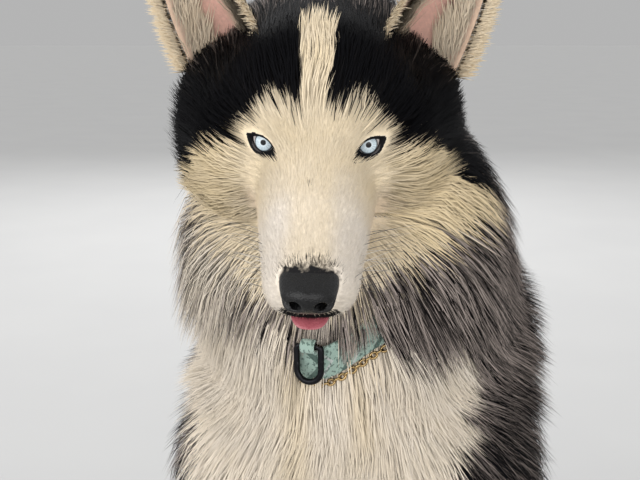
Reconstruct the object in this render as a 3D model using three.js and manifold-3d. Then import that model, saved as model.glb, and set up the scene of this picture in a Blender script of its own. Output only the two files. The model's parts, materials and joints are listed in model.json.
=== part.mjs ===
// A life-size Siberian husky with a long coat, sitting, its head bowed and turned a little to its left.
// Millimetres, +Z up. The dog faces -Y and its left side is +X.
// The origin is on the floor, under the middle of the whole model.
import * as THREE from "three";
import { mergeVertices } from "three/addons/utils/BufferGeometryUtils.js";
import Module from "manifold-3d";

const wasm = await Module();
wasm.setup();

// Driving dimensions.
const GAP = 0.4; // what two neighbouring pieces keep between them
const CORE_SHARE = 0.45; // how much of the coat's depth the wool next to the skin fills, where locks grow
const SHORT_SHARE = 0.8; // how much of it the solid fills where the coat is short
const TIP_SHARE = 0.98; // how much of it the tips of the locks reach
const BODY_BLEND = 13; // how softly the forms of the body run into one another
const LEG_BLEND = 8;
const HEAD_BLEND = 6;
const PAW_BLEND = 3;
const EYE_RADIUS = 11.5;
const EYE_AT = new THREE.Vector3(30, -61, 8); // the left eye's centre, in the head's frame
const EYE_TURN = 12; // degrees that each eye looks away from the nose's line
const EYE_LIFT = 16; // degrees that the eyes look up from the nose's line
const EYE_OPENING = 24; // between the corners of the lids
const EYE_OPENING_HEIGHT = 13; // between the points that pull the lids' curves apart
const EYE_SLANT = 24; // degrees that the outer corner stands over the inner one
const LID = 1.8;
const NOSTRIL_RADIUS = 3.1;
const NOSE_CLEFT = [1.1, 8, 14];
const NOSE_CLEFT_AT = [0, -177, -36];
const TONGUE_HALF_SIZES = [13, 30, 3.2];
const TONGUE_DROOP = 6; // degrees
const TONGUE_AT = [0, -133, -53];
const EAR_HEIGHT = 116;
const EAR_WIDTH = 74;
const EAR_WALL = 4.5;
const EAR_AT = new THREE.Vector3(60, 12, 16); // the left ear's foot, in the head's frame
const EAR_LEAN_OUT = 21;
const EAR_LEAN_BACK = 4;
const EAR_OPENING_TURN = 18;
const FOREPAW_AT = [66, -190];
const HINDPAW_AT = [112, -24];
const COLLAR_WIDTH = 25;
const COLLAR_WALL = 3;
const COLLAR_OVER = 1.2; // how far the band lies over the wool
const BUCKLE_WALL = 6;
const BUCKLE_REACH = 0.22; // half its length round the neck, as an angle
const CHAIN_LINKS = 28;
const CHAIN_BELOW = 4; // how far the chain lies below the band's lower edge
const CHAIN_OVER = 2.8; // how far the middle of its links lies over the wool
const LINK_BROAD = 2.7; // half a link's width, seen flat
const LINK_NARROW = 1.1; // and seen from its edge
const RING_WIDTH = 22;
const RING_HEIGHT = 30;
const RING_WIRE = 4.4;
const LOOP_WIDTH = 10;
const LOOP_CLEAR = 0.9; // between the ring's bar and the webbing round it
const LOOP_WALL = 2.1;
const LOOP_TAB = [LOOP_WIDTH, 8, 2.4];
const CLAW_RADIUS = 3.4;

// The head's place in the body: its turn to the dog's left, its bow and its lean.
const HEAD_AT = new THREE.Vector3(0, -236, 702);
const HEAD_TURN = 17;
const HEAD_BOW = 29;
const HEAD_LEAN = 1.2;

// The collar's place: the middle of the neck, and how far its front hangs below the nape.
const COLLAR_AT = new THREE.Vector3(0, -180, 583.5);
const COLLAR_TILT = 24;
const COLLAR_PULL = 26; // how far the ring has drawn the band down there
const COLLAR_PULL_OUT = 7; // and out from the neck
const COLLAR_PULL_WIDTH = 0.42; // half the width of that stretch, as an angle
const RING_AT = new THREE.Vector3(2, -266, 523); // the middle of the ring, which hangs plumb

const rad = THREE.MathUtils.degToRad;
const vec = (x, y, z) => new THREE.Vector3(x, y, z);
const headGroup = new THREE.Group();
headGroup.position.copy(HEAD_AT);
headGroup.rotation.set(rad(HEAD_BOW), rad(HEAD_LEAN), rad(HEAD_TURN), "ZXY");
headGroup.updateMatrix();
const headFrame = headGroup.matrix;
const collarGroup = new THREE.Group();
collarGroup.position.copy(COLLAR_AT);
collarGroup.rotation.set(rad(COLLAR_TILT), 0, 0);
collarGroup.updateMatrix();
const collarFrame = collarGroup.matrix;

// A form is a tapered rod with round ends, from one point to another. wide widens it along X, tall along Z.
// coat is how far the hair stands over it, and lie is the way that the hair runs.
const ROUND = { wide: 1, tall: 1 };
const form = (from, to, radii, coat, lie, shape) => ({ from, to, radii, coat, lie, ...ROUND, ...shape });
const mirrored = (f) => ({
  ...f,
  from: [-f.from[0], f.from[1], f.from[2]],
  to: [-f.to[0], f.to[1], f.to[2]],
  lie: [-f.lie[0], f.lie[1], f.lie[2]],
});
const both = (f) => [f, mirrored(f)];

// The head, in its own frame: its nose points along -Y and its crown along +Z.
const skullForms = [
  form([0, -24, 6], [0, 26, 4], [54, 50], 14, [0, 1, 0.1], { wide: 1.08 }),
  form([0, -52, 4], [0, -98, -18], [27, 22], 4, [0, 1, 0.35], { wide: 1.1 }),
  form([0, -84, -21], [0, -145, -31], [25, 17], 3, [0, 1, 0.1], { wide: 1.14 }),
  form([0, 26, -20], [0, 50, -24], [48, 46], 34, [0, 0.8, -0.5]),
  form([0, 40, 10], [0, 52, 0], [36, 36], 20, [0, 1, -0.25]),
  ...both(form([20, -54, 20], [38, -32, 24], [15, 19], 6, [0.35, 0.7, 0.6])),
  ...both(form([13, -78, -35], [12, -142, -41], [21, 14], 4, [0.2, 1, -0.15])),
  ...both(form([36, -46, -14], [52, 4, -6], [21, 25], 20, [0.55, 0.9, -0.3])),
  ...both(form([34, -26, -38], [44, 18, -30], [25, 29], 38, [0.75, 0.75, -0.55])),
];
const jawForms = [
  form([0, -44, -60], [0, -130, -56], [22, 11], 5, [0, 1, -0.35]),
  ...both(form([14, -50, -58], [6, -132, -56], [14, 7.5], 5, [0.3, 1, -0.3])),
];
const noseForms = [
  form([0, -154, -23], [0, -162, -27], [14, 11.5], 0, [0, 1, 0], { wide: 1.14, tall: 0.95 }),
  ...both(form([9.5, -157, -28], [9.5, -163, -30], [7.5, 7], 0, [0, 1, 0])),
];

// The body, in the dog's frame.
const trunkForms = [
  form([0, -158, 418], [0, -128, 345], [66, 62], 46, [0, 0.15, -1]),
  form([0, -92, 418], [0, 34, 308], [98, 104], 34, [0, 0.7, -0.71], { wide: 0.84 }),
  form([0, 34, 292], [0, 130, 196], [94, 84], 34, [0, 0.6, -0.8], { wide: 0.86 }),
  form([0, 140, 190], [0, 200, 112], [84, 86], 34, [0, 0.55, -0.84], { wide: 0.95 }),
  form([0, -72, 500], [0, 66, 388], [40, 42], 30, [0, 0.76, -0.65]),
  ...both(form([56, -84, 492], [70, -160, 404], [40, 44], 34, [0.12, 0.45, -0.9])),
  ...both(form([72, -160, 400], [76, -124, 300], [43, 38], 32, [0.08, 0.3, -0.95])),
];
const neckForms = [
  form([0, -116, 478], [0, -164, 590], [72, 62], 48, [0, 0.55, -0.84]),
  form([0, -164, 590], [0, -184, 676], [60, 46], 44, [0, 0.6, -0.8]),
  form([0, -178, 500], [0, -196, 580], [38, 36], 40, [0, -0.1, -1]),
  ...both(form([30, -150, 500], [32, -190, 620], [38, 36], 46, [0.5, 0.3, -0.85])),
];
const foreLegForms = [
  form([76, -126, 300], [70, -156, 170], [36, 27], 20, [0.05, 0.25, -1]),
  form([70, -156, 170], [66, -170, 62], [26, 21], 9, [0, 0.1, -1]),
  form([76, -106, 292], [72, -128, 180], [20, 14], 26, [0, 0.5, -0.9]),
];
const TOES = [-23, -8, 8, 23]; // how far each toe lies from the middle of its paw
const toeReach = (t) => 44 - 0.022 * t * t;
const pawForms = ([x, y]) => [
  form([x, y + 12, 30], [x, y - 18, 19], [22, 19], 5, [0, -1, -0.3], { wide: 1.22 }),
  form([x, y + 2, 15], [x, y - 16, 13], [17, 15], 3, [0, -1, 0], { wide: 1.5 }),
  ...TOES.map((t) => {
    const tip = [x + t, y - toeReach(t), 11];
    return form([x + t * 0.85, y - 16, 16], tip, [11.5, 11], 3, [0, -1, -0.2]);
  }),
];
const thighForms = [
  form([70, 178, 138], [84, 40, 190], [66, 54], 32, [0.1, 0.5, -0.85], { wide: 0.86 }),
  form([72, 112, 150], [72, 96, 160], [78, 78], 32, [0.12, 0.5, -0.85], { wide: 0.76 }),
  form([92, 30, 196], [98, -2, 204], [46, 38], 24, [0.1, 0.1, -1]),
  form([98, 0, 190], [100, 118, 76], [38, 34], 26, [0.1, 0.4, -0.9]),
];
const hockForms = [
  form([100, 150, 30], [106, 74, 22], [26, 20], 8, [0, -1, -0.1]),
  form([106, 74, 22], [110, 6, 22], [20, 21], 7, [0, -1, -0.1]),
];
const tailPath = [
  [0, 248, 104],
  [26, 306, 66],
  [82, 338, 50],
  [150, 330, 46],
  [206, 288, 44],
  [232, 226, 42],
];
const tailForms = tailPath.slice(1).map((to, i) => {
  const from = tailPath[i];
  const lie = to.map((v, axis) => v - from[axis]);
  return form(from, to, [22 - 2.4 * i, 20 - 2.4 * i], [34, 40, 44, 44, 36][i], lie);
});

// The distance from a point to a form's surface, measured along the line from the form's own axis.
const local = vec(0, 0, 0);
function formDistance(p, f) {
  const [ax, ay, az] = f.from;
  const bx = (f.to[0] - ax) / f.wide;
  const by = f.to[1] - ay;
  const bz = (f.to[2] - az) / f.tall;
  const px = (p.x - ax) / f.wide;
  const py = p.y - ay;
  const pz = (p.z - az) / f.tall;
  const along = THREE.MathUtils.clamp((px * bx + py * by + pz * bz) / (bx * bx + by * by + bz * bz), 0, 1);
  local.set(px - bx * along, py - by * along, pz - bz * along);
  const squeezed = Math.max(local.length(), 1e-6);
  const real = Math.hypot(local.x * f.wide, local.y, local.z * f.tall);
  return real * (1 - THREE.MathUtils.lerp(f.radii[0], f.radii[1], along) / squeezed);
}

// The forms run into one another. at gives the distance to the skin, the coat's depth and the way that the
// hair lies.
class Flesh {
  constructor(forms, blend, frame = new THREE.Matrix4()) {
    this.forms = forms;
    this.blend = blend;
    this.frame = frame;
    this.inverse = frame.clone().invert();
  }
  at(point) {
    const p = point.clone().applyMatrix4(this.inverse);
    let sum = 0;
    let coat = 0;
    const lie = vec(0, 0, 0);
    for (const f of this.forms) {
      const share = Math.exp(-formDistance(p, f) / this.blend);
      sum += share;
      coat += share * f.coat;
      lie.addScaledVector(local.fromArray(f.lie).normalize(), share);
    }
    lie.transformDirection(this.frame);
    return { height: -this.blend * Math.log(sum), coat: coat / sum, lie };
  }
  normal(point) {
    const step = 0.5;
    const n = vec(0, 0, 0);
    for (const axis of ["x", "y", "z"]) {
      const ahead = point.clone();
      const behind = point.clone();
      ahead[axis] += step;
      behind[axis] -= step;
      n[axis] = this.at(ahead).height - this.at(behind).height;
    }
    return n.normalize();
  }
}

// A solid of merged vertices and triangles, and back to a geometry.
function solidOf(geometry) {
  const bare = geometry.clone();
  bare.deleteAttribute("normal");
  bare.deleteAttribute("uv");
  const merged = mergeVertices(bare, 1e-4);
  const vertProperties = new Float32Array(merged.attributes.position.array);
  const triVerts = new Uint32Array(merged.index.array);
  const solid = () => new wasm.Manifold(new wasm.Mesh({ numProp: 3, vertProperties, triVerts }));
  if (solid().volume() > 0) return solid();
  for (let i = 0; i < triVerts.length; i += 3) {
    [triVerts[i + 1], triVerts[i + 2]] = [triVerts[i + 2], triVerts[i + 1]];
  }
  return solid();
}
function geometryOf(solid) {
  const mesh = solid.getMesh();
  const points = new Float32Array(mesh.numVert * 3);
  for (let i = 0; i < mesh.numVert; i++) {
    points.set(mesh.vertProperties.subarray(i * mesh.numProp, i * mesh.numProp + 3), i * 3);
  }
  const geometry = new THREE.BufferGeometry();
  geometry.setAttribute("position", new THREE.BufferAttribute(points, 3));
  geometry.setIndex(new THREE.BufferAttribute(mesh.triVerts, 1));
  geometry.computeVertexNormals();
  return geometry;
}
const joined = (solids) => wasm.Manifold.union(solids);
function largest(solid) {
  const pieces = solid.decompose();
  return pieces.reduce((a, b) => (b.volume() > a.volume() ? b : a));
}

// A closed skin from rings of points, each of the same number. The far end closes on one point. The near end
// closes on the point start, or, without one, flat across from each side of the first ring to the other.
function ringSolid(start, rings, end) {
  const sides = rings[0].length;
  const points = [...rings.flat(), end];
  const last = points.length - 1;
  const index = [];
  const at = (ring, side) => ring * sides + (side % sides);
  for (let s = 0; s < sides; s++) {
    if (start) index.push(last + 1, at(0, s + 1), at(0, s));
    index.push(last, at(rings.length - 1, s), at(rings.length - 1, s + 1));
    for (let r = 0; r + 1 < rings.length; r++) {
      index.push(at(r, s), at(r, s + 1), at(r + 1, s));
      index.push(at(r, s + 1), at(r + 1, s + 1), at(r + 1, s));
    }
  }
  if (start) points.push(start);
  for (let s = 0; !start && s < sides / 2; s++) {
    const [near, next, nextAcross, nearAcross] = [s, s + 1, sides - s - 1, (sides - s) % sides];
    if (near !== nearAcross) index.push(near, nearAcross, nextAcross);
    if (next !== nextAcross) index.push(near, nextAcross, next);
  }
  const geometry = new THREE.BufferGeometry();
  geometry.setAttribute("position", new THREE.Float32BufferAttribute(points.flatMap((p) => p.toArray()), 3));
  geometry.setIndex(index);
  return solidOf(geometry);
}

// Walks along a ray from a point inside to the last place where the level is crossed.
// level(sample) is the wanted height over the skin, and size is how far the ray goes.
function reach(flesh, from, direction, level, size) {
  const over = (s) => {
    const sample = flesh.at(from.clone().addScaledVector(direction, s));
    return sample.height - level(sample);
  };
  const stride = 6;
  let far = size;
  while (over(far - stride) > 0 && far > 2 * stride) far -= stride;
  let near = far - stride;
  for (let i = 0; i < 14; i++) {
    const middle = (near + far) / 2;
    if (over(middle) < 0) near = middle;
    else far = middle;
  }
  return from.clone().addScaledVector(direction, far);
}

// The spine of a part, with frames that don't twist.
class Spine {
  constructor(points) {
    this.curve = new THREE.CatmullRomCurve3(points.map((p) => vec(...p)));
    this.steps = 40;
    this.frames = this.curve.computeFrenetFrames(this.steps, false);
  }
  ray(u, angle, tilt = 0) {
    const i = Math.round(u * this.steps);
    const direction = this.frames.normals[i].clone().multiplyScalar(Math.cos(angle));
    direction.addScaledVector(this.frames.binormals[i], Math.sin(angle));
    direction.multiplyScalar(Math.cos(tilt)).addScaledVector(this.frames.tangents[i], Math.sin(tilt));
    return { from: this.curve.getPointAt(u), direction };
  }
}

// A part's core: rays from its spine reach the wanted level over the skin, with round ends.
function wrapped(flesh, spine, { rings, sides, caps, size = 130 }, level) {
  const stations = [];
  for (let c = 1; c <= caps; c++) stations.push([0, -(Math.PI / 2) * (1 - c / (caps + 1))]);
  for (let r = 0; r <= rings; r++) stations.push([r / rings, 0]);
  for (let c = caps; c >= 1; c--) stations.push([1, (Math.PI / 2) * (1 - c / (caps + 1))]);
  const cast = (u, angle, tilt) => {
    const { from, direction } = spine.ray(u, angle, tilt);
    return reach(flesh, from, direction, level, size);
  };
  const loops = stations.map(([u, tilt]) =>
    Array.from({ length: sides }, (_, s) => cast(u, (2 * Math.PI * s) / sides, tilt)),
  );
  return ringSolid(cast(0, 0, -Math.PI / 2), loops, cast(1, 0, Math.PI / 2));
}

const level = (share, grow) => (sample) => sample.coat * share + grow;

// A draw from 0 to 1, the same in every run.
let seed = 41;
function draw() {
  seed = (seed * 16807) % 2147483647;
  return seed / 2147483647;
}
const about = (value, share) => value * (1 + share * (2 * draw() - 1));

// The line of one lock: from its root in the wool it runs with the lie of the coat and rises to the tips.
const LOCK_STEPS = 8;
const LOCK_SINK = 9;
function lockLine(flesh, root, length, fan, clear) {
  const line = [];
  const p = root.clone();
  for (let i = 0; i <= LOCK_STEPS; i++) {
    const t = i / LOCK_STEPS;
    const { height, coat, lie } = flesh.at(p);
    const out = flesh.normal(p);
    const wanted = THREE.MathUtils.lerp(CORE_SHARE * coat - LOCK_SINK, TIP_SHARE * coat, Math.pow(t, 0.7));
    p.addScaledVector(out, Math.max(wanted, clear ? clear(p, coat, t) : wanted) - height);
    const along = lie.addScaledVector(out, -lie.dot(out)).normalize().applyAxisAngle(out, fan * (0.4 + t));
    line.push({ place: p.clone(), out, across: along.clone().cross(out) });
    p.addScaledVector(along, length / LOCK_STEPS);
  }
  return line;
}

// A lock is a flat blade with a crest: widest a third of the way along, and thinner towards its tip.
const LOCK_STATIONS = [
  { at: 1, wide: 0.8, thick: 1.3 },
  { at: 4, wide: 1, thick: 1 },
];
function lockSolid(line, width, thickness, grow = 0) {
  const rings = LOCK_STATIONS.map(({ at, wide, thick }) => {
    const { place, out, across } = line[at];
    const half = (width / 2) * wide + 3 * grow;
    const crest = thickness * thick * 0.6 + 1.2 * grow;
    const under = -thickness * thick * 0.4 - grow;
    return [[half, under], [0, crest], [-half, under]].map(([a, o]) =>
      place.clone().addScaledVector(across, a).addScaledVector(out, o),
    );
  });
  const tip = line.at(-1).place;
  const beyond = tip.clone().sub(line[LOCK_STATIONS.at(-1).at].place).setLength(4 * grow || 1e-9);
  return ringSolid(line[0].place, rings, tip.clone().add(beyond));
}

// Rows of locks round a spine, staggered like roof tiles. keep(line) says whether a lock on that line shows.
function lockRows(flesh, spine, { rows, apart, length, width, thickness, size = 130 }, keep, clear) {
  const locks = [];
  rows.forEach(([u, tilt = 0, share = 1], row) => {
    const cast = (angle) => {
      const { from, direction } = spine.ray(u, angle, rad(tilt));
      return reach(flesh, from, direction, level(CORE_SHARE, -LOCK_SINK), size);
    };
    const round = Array.from({ length: 12 }, (_, i) => cast((Math.PI * i) / 6));
    const girth = round.reduce((sum, p, i) => sum + p.distanceTo(round[(i + 1) % 12]), 0);
    const count = Math.max(3, Math.round(girth / apart));
    for (let i = 0; i < count; i++) {
      const angle = (2 * Math.PI * (i + (row % 2) / 2 + 0.3 * (draw() - 0.5))) / count;
      const line = lockLine(flesh, cast(angle), about(length * share, 0.15), 0.25 * (draw() - 0.5), clear);
      const [wide, thick] = [about(width, 0.15), about(thickness, 0.15)];
      if (keep(line)) locks.push({ line, wide, thick });
    }
  });
  return locks;
}
const lockSolids = (locks, grow) => locks.map(({ line, wide, thick }) => lockSolid(line, wide, thick, grow));

const FLOOR_REACH = 3000;
const boxSolid = (size, centre) =>
  solidOf(new THREE.BoxGeometry(...size).translate(centre[0], centre[1], centre[2]));
const aboveFloor = boxSolid([FLOOR_REACH, FLOOR_REACH, FLOOR_REACH], [0, 0, FLOOR_REACH / 2]);

// A solid tube of few sides that follows a line of points and ends in a point.
function taper(line, radius, sides) {
  const curve = new THREE.CatmullRomCurve3(line);
  const steps = line.length;
  const frames = curve.computeFrenetFrames(steps, false);
  const rings = Array.from({ length: steps }, (_, i) =>
    Array.from({ length: sides }, (_, s) => {
      const angle = (2 * Math.PI * s) / sides;
      return curve
        .getPointAt(i / steps)
        .addScaledVector(frames.normals[i], radius(i / steps) * Math.cos(angle))
        .addScaledVector(frames.binormals[i], radius(i / steps) * Math.sin(angle));
    }),
  );
  return ringSolid(curve.getPointAt(0), rings, curve.getPointAt(1));
}

// The head's own pieces.
const skull = new Flesh(skullForms, HEAD_BLEND, headFrame);
const jaw = new Flesh(jawForms, HEAD_BLEND, headFrame);
const nose = new Flesh(noseForms, 3, headFrame);
const inHead = (x, y, z) => vec(x, y, z).applyMatrix4(headFrame);
const headSpine = (points) => new Spine(points.map((p) => inHead(...p).toArray()));

// Which way an eye looks, in the head's frame. side is 1 on the left and -1 on the right.
function eyeFrame(side) {
  return new THREE.Matrix4()
    .makeTranslation(side * EYE_AT.x, EYE_AT.y, EYE_AT.z)
    .multiply(new THREE.Matrix4().makeRotationZ(side * rad(EYE_TURN)))
    .multiply(new THREE.Matrix4().makeRotationX(-rad(EYE_LIFT)))
    .premultiply(headFrame);
}
const ball = (radius, across, down, frame) =>
  solidOf(new THREE.SphereGeometry(radius, across, down).rotateX(Math.PI / 2).applyMatrix4(frame));

// The almond between the lids, slanting down to the inner corner, as a prism along the eye's look.
function almond(side) {
  const half = EYE_OPENING / 2;
  const outline = new THREE.Shape();
  outline.moveTo(-half, 0);
  outline.quadraticCurveTo(0, EYE_OPENING_HEIGHT, half, 0);
  outline.quadraticCurveTo(0, -EYE_OPENING_HEIGHT, -half, 0);
  const prism = new THREE.ExtrudeGeometry(outline, { depth: 40, bevelEnabled: false, curveSegments: 7 });
  prism.rotateZ(side * rad(EYE_SLANT)).rotateX(Math.PI / 2);
  return solidOf(prism.applyMatrix4(eyeFrame(side)));
}

// A cupped ear: each level is an arc that opens forwards and outwards, and the two faces meet at the rim.
const EAR_LEVELS = 8;
const EAR_ARC_POINTS = 6;
function earFrame(side) {
  return new THREE.Matrix4()
    .makeTranslation(side * EAR_AT.x, EAR_AT.y, EAR_AT.z)
    .multiply(new THREE.Matrix4().makeRotationY(side * rad(EAR_LEAN_OUT)))
    .multiply(new THREE.Matrix4().makeRotationX(-rad(EAR_LEAN_BACK)))
    .multiply(new THREE.Matrix4().makeRotationZ(side * rad(EAR_OPENING_TURN)))
    .premultiply(headFrame);
}
function earPoint(height, across, inset) {
  const halfWidth = (EAR_WIDTH / 2) * Math.pow(1 - height, 0.66) * (0.9 + 0.5 * height) - inset;
  const curl = THREE.MathUtils.lerp(rad(84), rad(42), height);
  const radius = Math.max(halfWidth, 0.4) / Math.sin(Math.min(curl, rad(82)));
  const depth = radius * Math.cos(across * curl) - radius * Math.cos(curl) - inset;
  return vec(radius * Math.sin(across * curl), depth, height * EAR_HEIGHT);
}

// A level outline, moved outwards by grow along its own plane. Its points run round it anticlockwise from
// above.
function grownOutline(points, grow) {
  const count = points.length;
  const facing = (p, q) => vec(q.y - p.y, p.x - q.x, 0).normalize();
  return points.map((p, i) => {
    const before = facing(points[(i + count - 1) % count], p);
    const after = facing(p, points[(i + 1) % count]);
    return p.clone().addScaledVector(before.add(after), grow / Math.max(1 + before.dot(after), 0.15));
  });
}
function ear(side, grow = 0) {
  const mirror = new THREE.Matrix4().makeScale(side, 1, 1);
  const place = (p) => p.applyMatrix4(mirror).applyMatrix4(earFrame(side));
  const rings = [];
  for (let l = 0; l < EAR_LEVELS; l++) {
    const height = (l / EAR_LEVELS) * 0.985;
    const wall = EAR_WALL * (1 - 0.55 * height);
    const across = (a) => 1 - (2 * a) / EAR_ARC_POINTS;
    const outline = [];
    for (let a = 0; a <= EAR_ARC_POINTS; a++) outline.push(earPoint(height, across(a), 0));
    for (let a = EAR_ARC_POINTS - 1; a > 0; a--) outline.push(earPoint(height, across(a), wall));
    const ring = grownOutline(outline, 1.2 * grow);
    if (l === 0) for (const p of ring) p.z -= grow;
    rings.push(ring.map(place));
  }
  return ringSolid(null, rings, place(vec(0, 0, EAR_HEIGHT + 4 * grow)));
}

// The muzzle and the skull, the jaw under them, and how far the head's coat stands over each.
const SHORT_COAT = 10;
const skullLevel = (grow) => ({ coat }) =>
  SHORT_SHARE * Math.min(coat, SHORT_COAT) + CORE_SHARE * Math.max(coat - SHORT_COAT, 0) + grow;
const jawLevel = (grow) => (sample) => sample.coat * 0.7 + grow;
const skullSpine = headSpine([
  [0, -138, -32],
  [0, -90, -20],
  [0, -40, -4],
  [0, 10, -4],
  [0, 50, -4],
]);
const jawSpine = headSpine([
  [0, -126, -56],
  [0, -90, -58],
  [0, -48, -60],
]);

const CHEEK_LOCKS = {
  rows: [[0.66], [0.94]],
  apart: 42,
  length: 66,
  width: 30,
  thickness: 9,
};

const pieces = new Map();
const cutters = [];

// Adds a piece: what it would share with the pieces that were added before is cut away, with the gap.
function add(name, solid, grown = solid) {
  let made = solid.intersect(aboveFloor);
  if (cutters.length) made = made.subtract(joined(cutters));
  pieces.set(name, largest(made));
  cutters.push(grown);
}

const HANDS = [[1, "left"], [-1, "right"]];

function eyes() {
  for (const [side, word] of HANDS) {
    const frame = eyeFrame(side);
    add(`eye_${word}`, ball(EYE_RADIUS, 14, 9, frame), ball(EYE_RADIUS + GAP, 14, 9, frame));
  }
}

function noseLeather() {
  const spine = headSpine([[0, -153, -25], [0, -162, -28]]);
  const shape = { rings: 2, sides: 16, caps: 2 };
  const nostril = (side) => {
    const line = [[6.5, -180, -32], [6.5, -170, -29.5], [9.5, -165, -28]];
    const route = line.map(([x, y, z]) => inHead(side * x, y, z));
    return taper(route, (t) => NOSTRIL_RADIUS * (1 - 0.5 * t), 6);
  };
  const cleftBox = new THREE.BoxGeometry(...NOSE_CLEFT).translate(...NOSE_CLEFT_AT);
  const cleft = solidOf(cleftBox.applyMatrix4(headFrame));
  const openings = joined([nostril(1), nostril(-1), cleft]);
  const leather = (grow) => wrapped(nose, spine, shape, () => grow);
  add("nose", leather(0).subtract(openings), leather(GAP));
}

function tongue() {
  const tip = (grow) =>
    solidOf(
      new THREE.SphereGeometry(1, 12, 6)
        .scale(...TONGUE_HALF_SIZES.map((half) => half + grow))
        .rotateX(rad(TONGUE_DROOP))
        .translate(...TONGUE_AT)
        .applyMatrix4(headFrame),
    );
  add("tongue", tip(0), tip(GAP));
}

function ears() {
  for (const [side, word] of HANDS) add(`ear_${word}`, ear(side), ear(side, GAP));
}

function jawAndSkull() {
  const jawShape = { rings: 4, sides: 12, caps: 2 };
  const skullShape = { rings: 16, sides: 24, caps: 2 };
  const cheeks = lockRows(skull, skullSpine, CHEEK_LOCKS, (line) => {
    const { y, z } = line[0].place.clone().applyMatrix4(headFrame.clone().invert());
    return z < 4 && y > -44;
  });
  const jawBone = (grow) => wrapped(jaw, jawSpine, jawShape, jawLevel(grow));
  add("jaw", jawBone(0), jawBone(GAP));
  const built = (grow) => {
    const lids = [1, -1].map((side) => ball(EYE_RADIUS + LID + grow, 14, 9, eyeFrame(side)));
    const core = wrapped(skull, skullSpine, skullShape, skullLevel(grow));
    return joined([core, ...lids, ...lockSolids(cheeks, grow)]);
  };
  const openings = joined([almond(1), almond(-1)]);
  add("head", built(0).subtract(openings), built(GAP));
}

// Where the band lies, the coat stands over it, and in front of the ring it is parted.
const OVER_BAND = 10; // how far the hair over the band stands clear of it
const RING_WINDOW = { half: 30, behind: 60, above: 22, below: 34 };
function aroundNeck(p) {
  const { x, y, z } = p.clone().applyMatrix4(collarFrame.clone().invert());
  const pull = Math.exp(-((Math.atan2(x, -y) / COLLAR_PULL_WIDTH) ** 2));
  return { pull, along: z + COLLAR_PULL * pull };
}
function overCollar(p, coat, t) {
  const { pull, along } = aroundNeck(p);
  const covered = Math.abs(along + 3) < COLLAR_WIDTH / 2 + 16 && t > 0.2;
  return covered ? CORE_SHARE * coat + COLLAR_WALL + COLLAR_PULL_OUT * pull + OVER_BAND : -Infinity;
}
const nearRing = ({ x, y, z }) =>
  Math.abs(x - RING_AT.x) < RING_WINDOW.half &&
  y < RING_AT.y + RING_WINDOW.behind &&
  z < RING_AT.z + RING_WINDOW.above &&
  z > RING_AT.z - RING_WINDOW.below;
const onFrontOfLeg = ({ y, z }) => y < -150 + 0.12 * (170 - z) - 8;

// The parts of the body, each with its forms, its spine and how finely it is wrapped.
const trunkPieces = {
  neck: {
    forms: neckForms,
    blend: BODY_BLEND,
    spine: [[0, -118, 478], [0, -146, 540], [0, -168, 600], [0, -182, 664]],
    shape: { rings: 8, sides: 20, caps: 2 },
    locks: {
      rows: [[0.12], [0.5], [0.86]],
      apart: 64,
      length: 104,
      width: 46,
      thickness: 13,
    },
    besides: ["torso"],
    clear: overCollar,
    bare: nearRing,
  },
  torso: {
    forms: trunkForms,
    blend: BODY_BLEND,
    spine: [[0, -112, 436], [0, -20, 352], [0, 76, 264], [0, 160, 176], [0, 192, 132]],
    shape: { rings: 11, sides: 22, caps: 3, size: 210 },
    locks: {
      rows: [[0, -44], [0.06], [0.3], [0.54], [0.78], [1, 10]],
      apart: 92,
      length: 132,
      width: 62,
      thickness: 15,
      size: 210,
    },
    besides: ["neck", "thigh_left", "thigh_right", "foreleg_left", "foreleg_right"],
  },
};
const limbPieces = {
  thigh: {
    forms: thighForms,
    blend: BODY_BLEND,
    spine: [[74, 176, 142], [80, 100, 152], [92, 14, 190]],
    shape: { rings: 7, sides: 16, caps: 3 },
    locks: { rows: [[0.15], [0.5], [0.85]], apart: 104, length: 112, width: 64, thickness: 13 },
    besides: ["torso"],
  },
  foreleg: {
    forms: foreLegForms,
    blend: LEG_BLEND,
    spine: [[76, -126, 290], [70, -156, 170], [66, -168, 70]],
    shape: { rings: 7, sides: 12, caps: 2 },
    locks: { rows: [[0.2], [0.5]], apart: 48, length: 76, width: 30, thickness: 10 },
    besides: ["torso"],
    bare: onFrontOfLeg,
  },
  forepaw: {
    forms: pawForms(FOREPAW_AT),
    blend: PAW_BLEND,
    spine: [[66, -182, 22], [66, -214, 16]],
    shape: { rings: 3, sides: 14, caps: 2 },
  },
  hindleg: {
    forms: hockForms,
    blend: LEG_BLEND,
    spine: [[100, 146, 30], [106, 74, 24], [110, 14, 22]],
    shape: { rings: 4, sides: 10, caps: 2 },
  },
  hindpaw: {
    forms: pawForms(HINDPAW_AT),
    blend: PAW_BLEND,
    spine: [[112, -16, 22], [112, -48, 16]],
    shape: { rings: 3, sides: 14, caps: 2 },
  },
};
const tailPieces = { tail_base: [0, 2], tail_mid: [2, 4], tail_tip: [4, 5] };
const TAIL_LOCKS = { apart: 70, length: 100, width: 44, thickness: 12 };

const opposite = (points) => points.map(([x, y, z]) => [-x, y, z]);
function addWrapped(name, { forms, blend, spine, shape, locks, besides = [], clear, bare = () => false }) {
  const flesh = new Flesh(forms, blend);
  const line = new Spine(spine);
  const hidden = (p) => besides.some((other) => fleshes[other].at(p).height < 0);
  const keep = (lock) => !hidden(lock[4].place) && !lock.some(({ place }) => bare(place));
  const grown = locks ? lockRows(flesh, line, locks, keep, clear) : [];
  const share = locks ? CORE_SHARE : SHORT_SHARE;
  const whole = (grow) => {
    const core = wrapped(flesh, line, shape, level(share, grow));
    return joined([core, ...lockSolids(grown, grow)]);
  };
  add(name, whole(0), whole(GAP));
}

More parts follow.
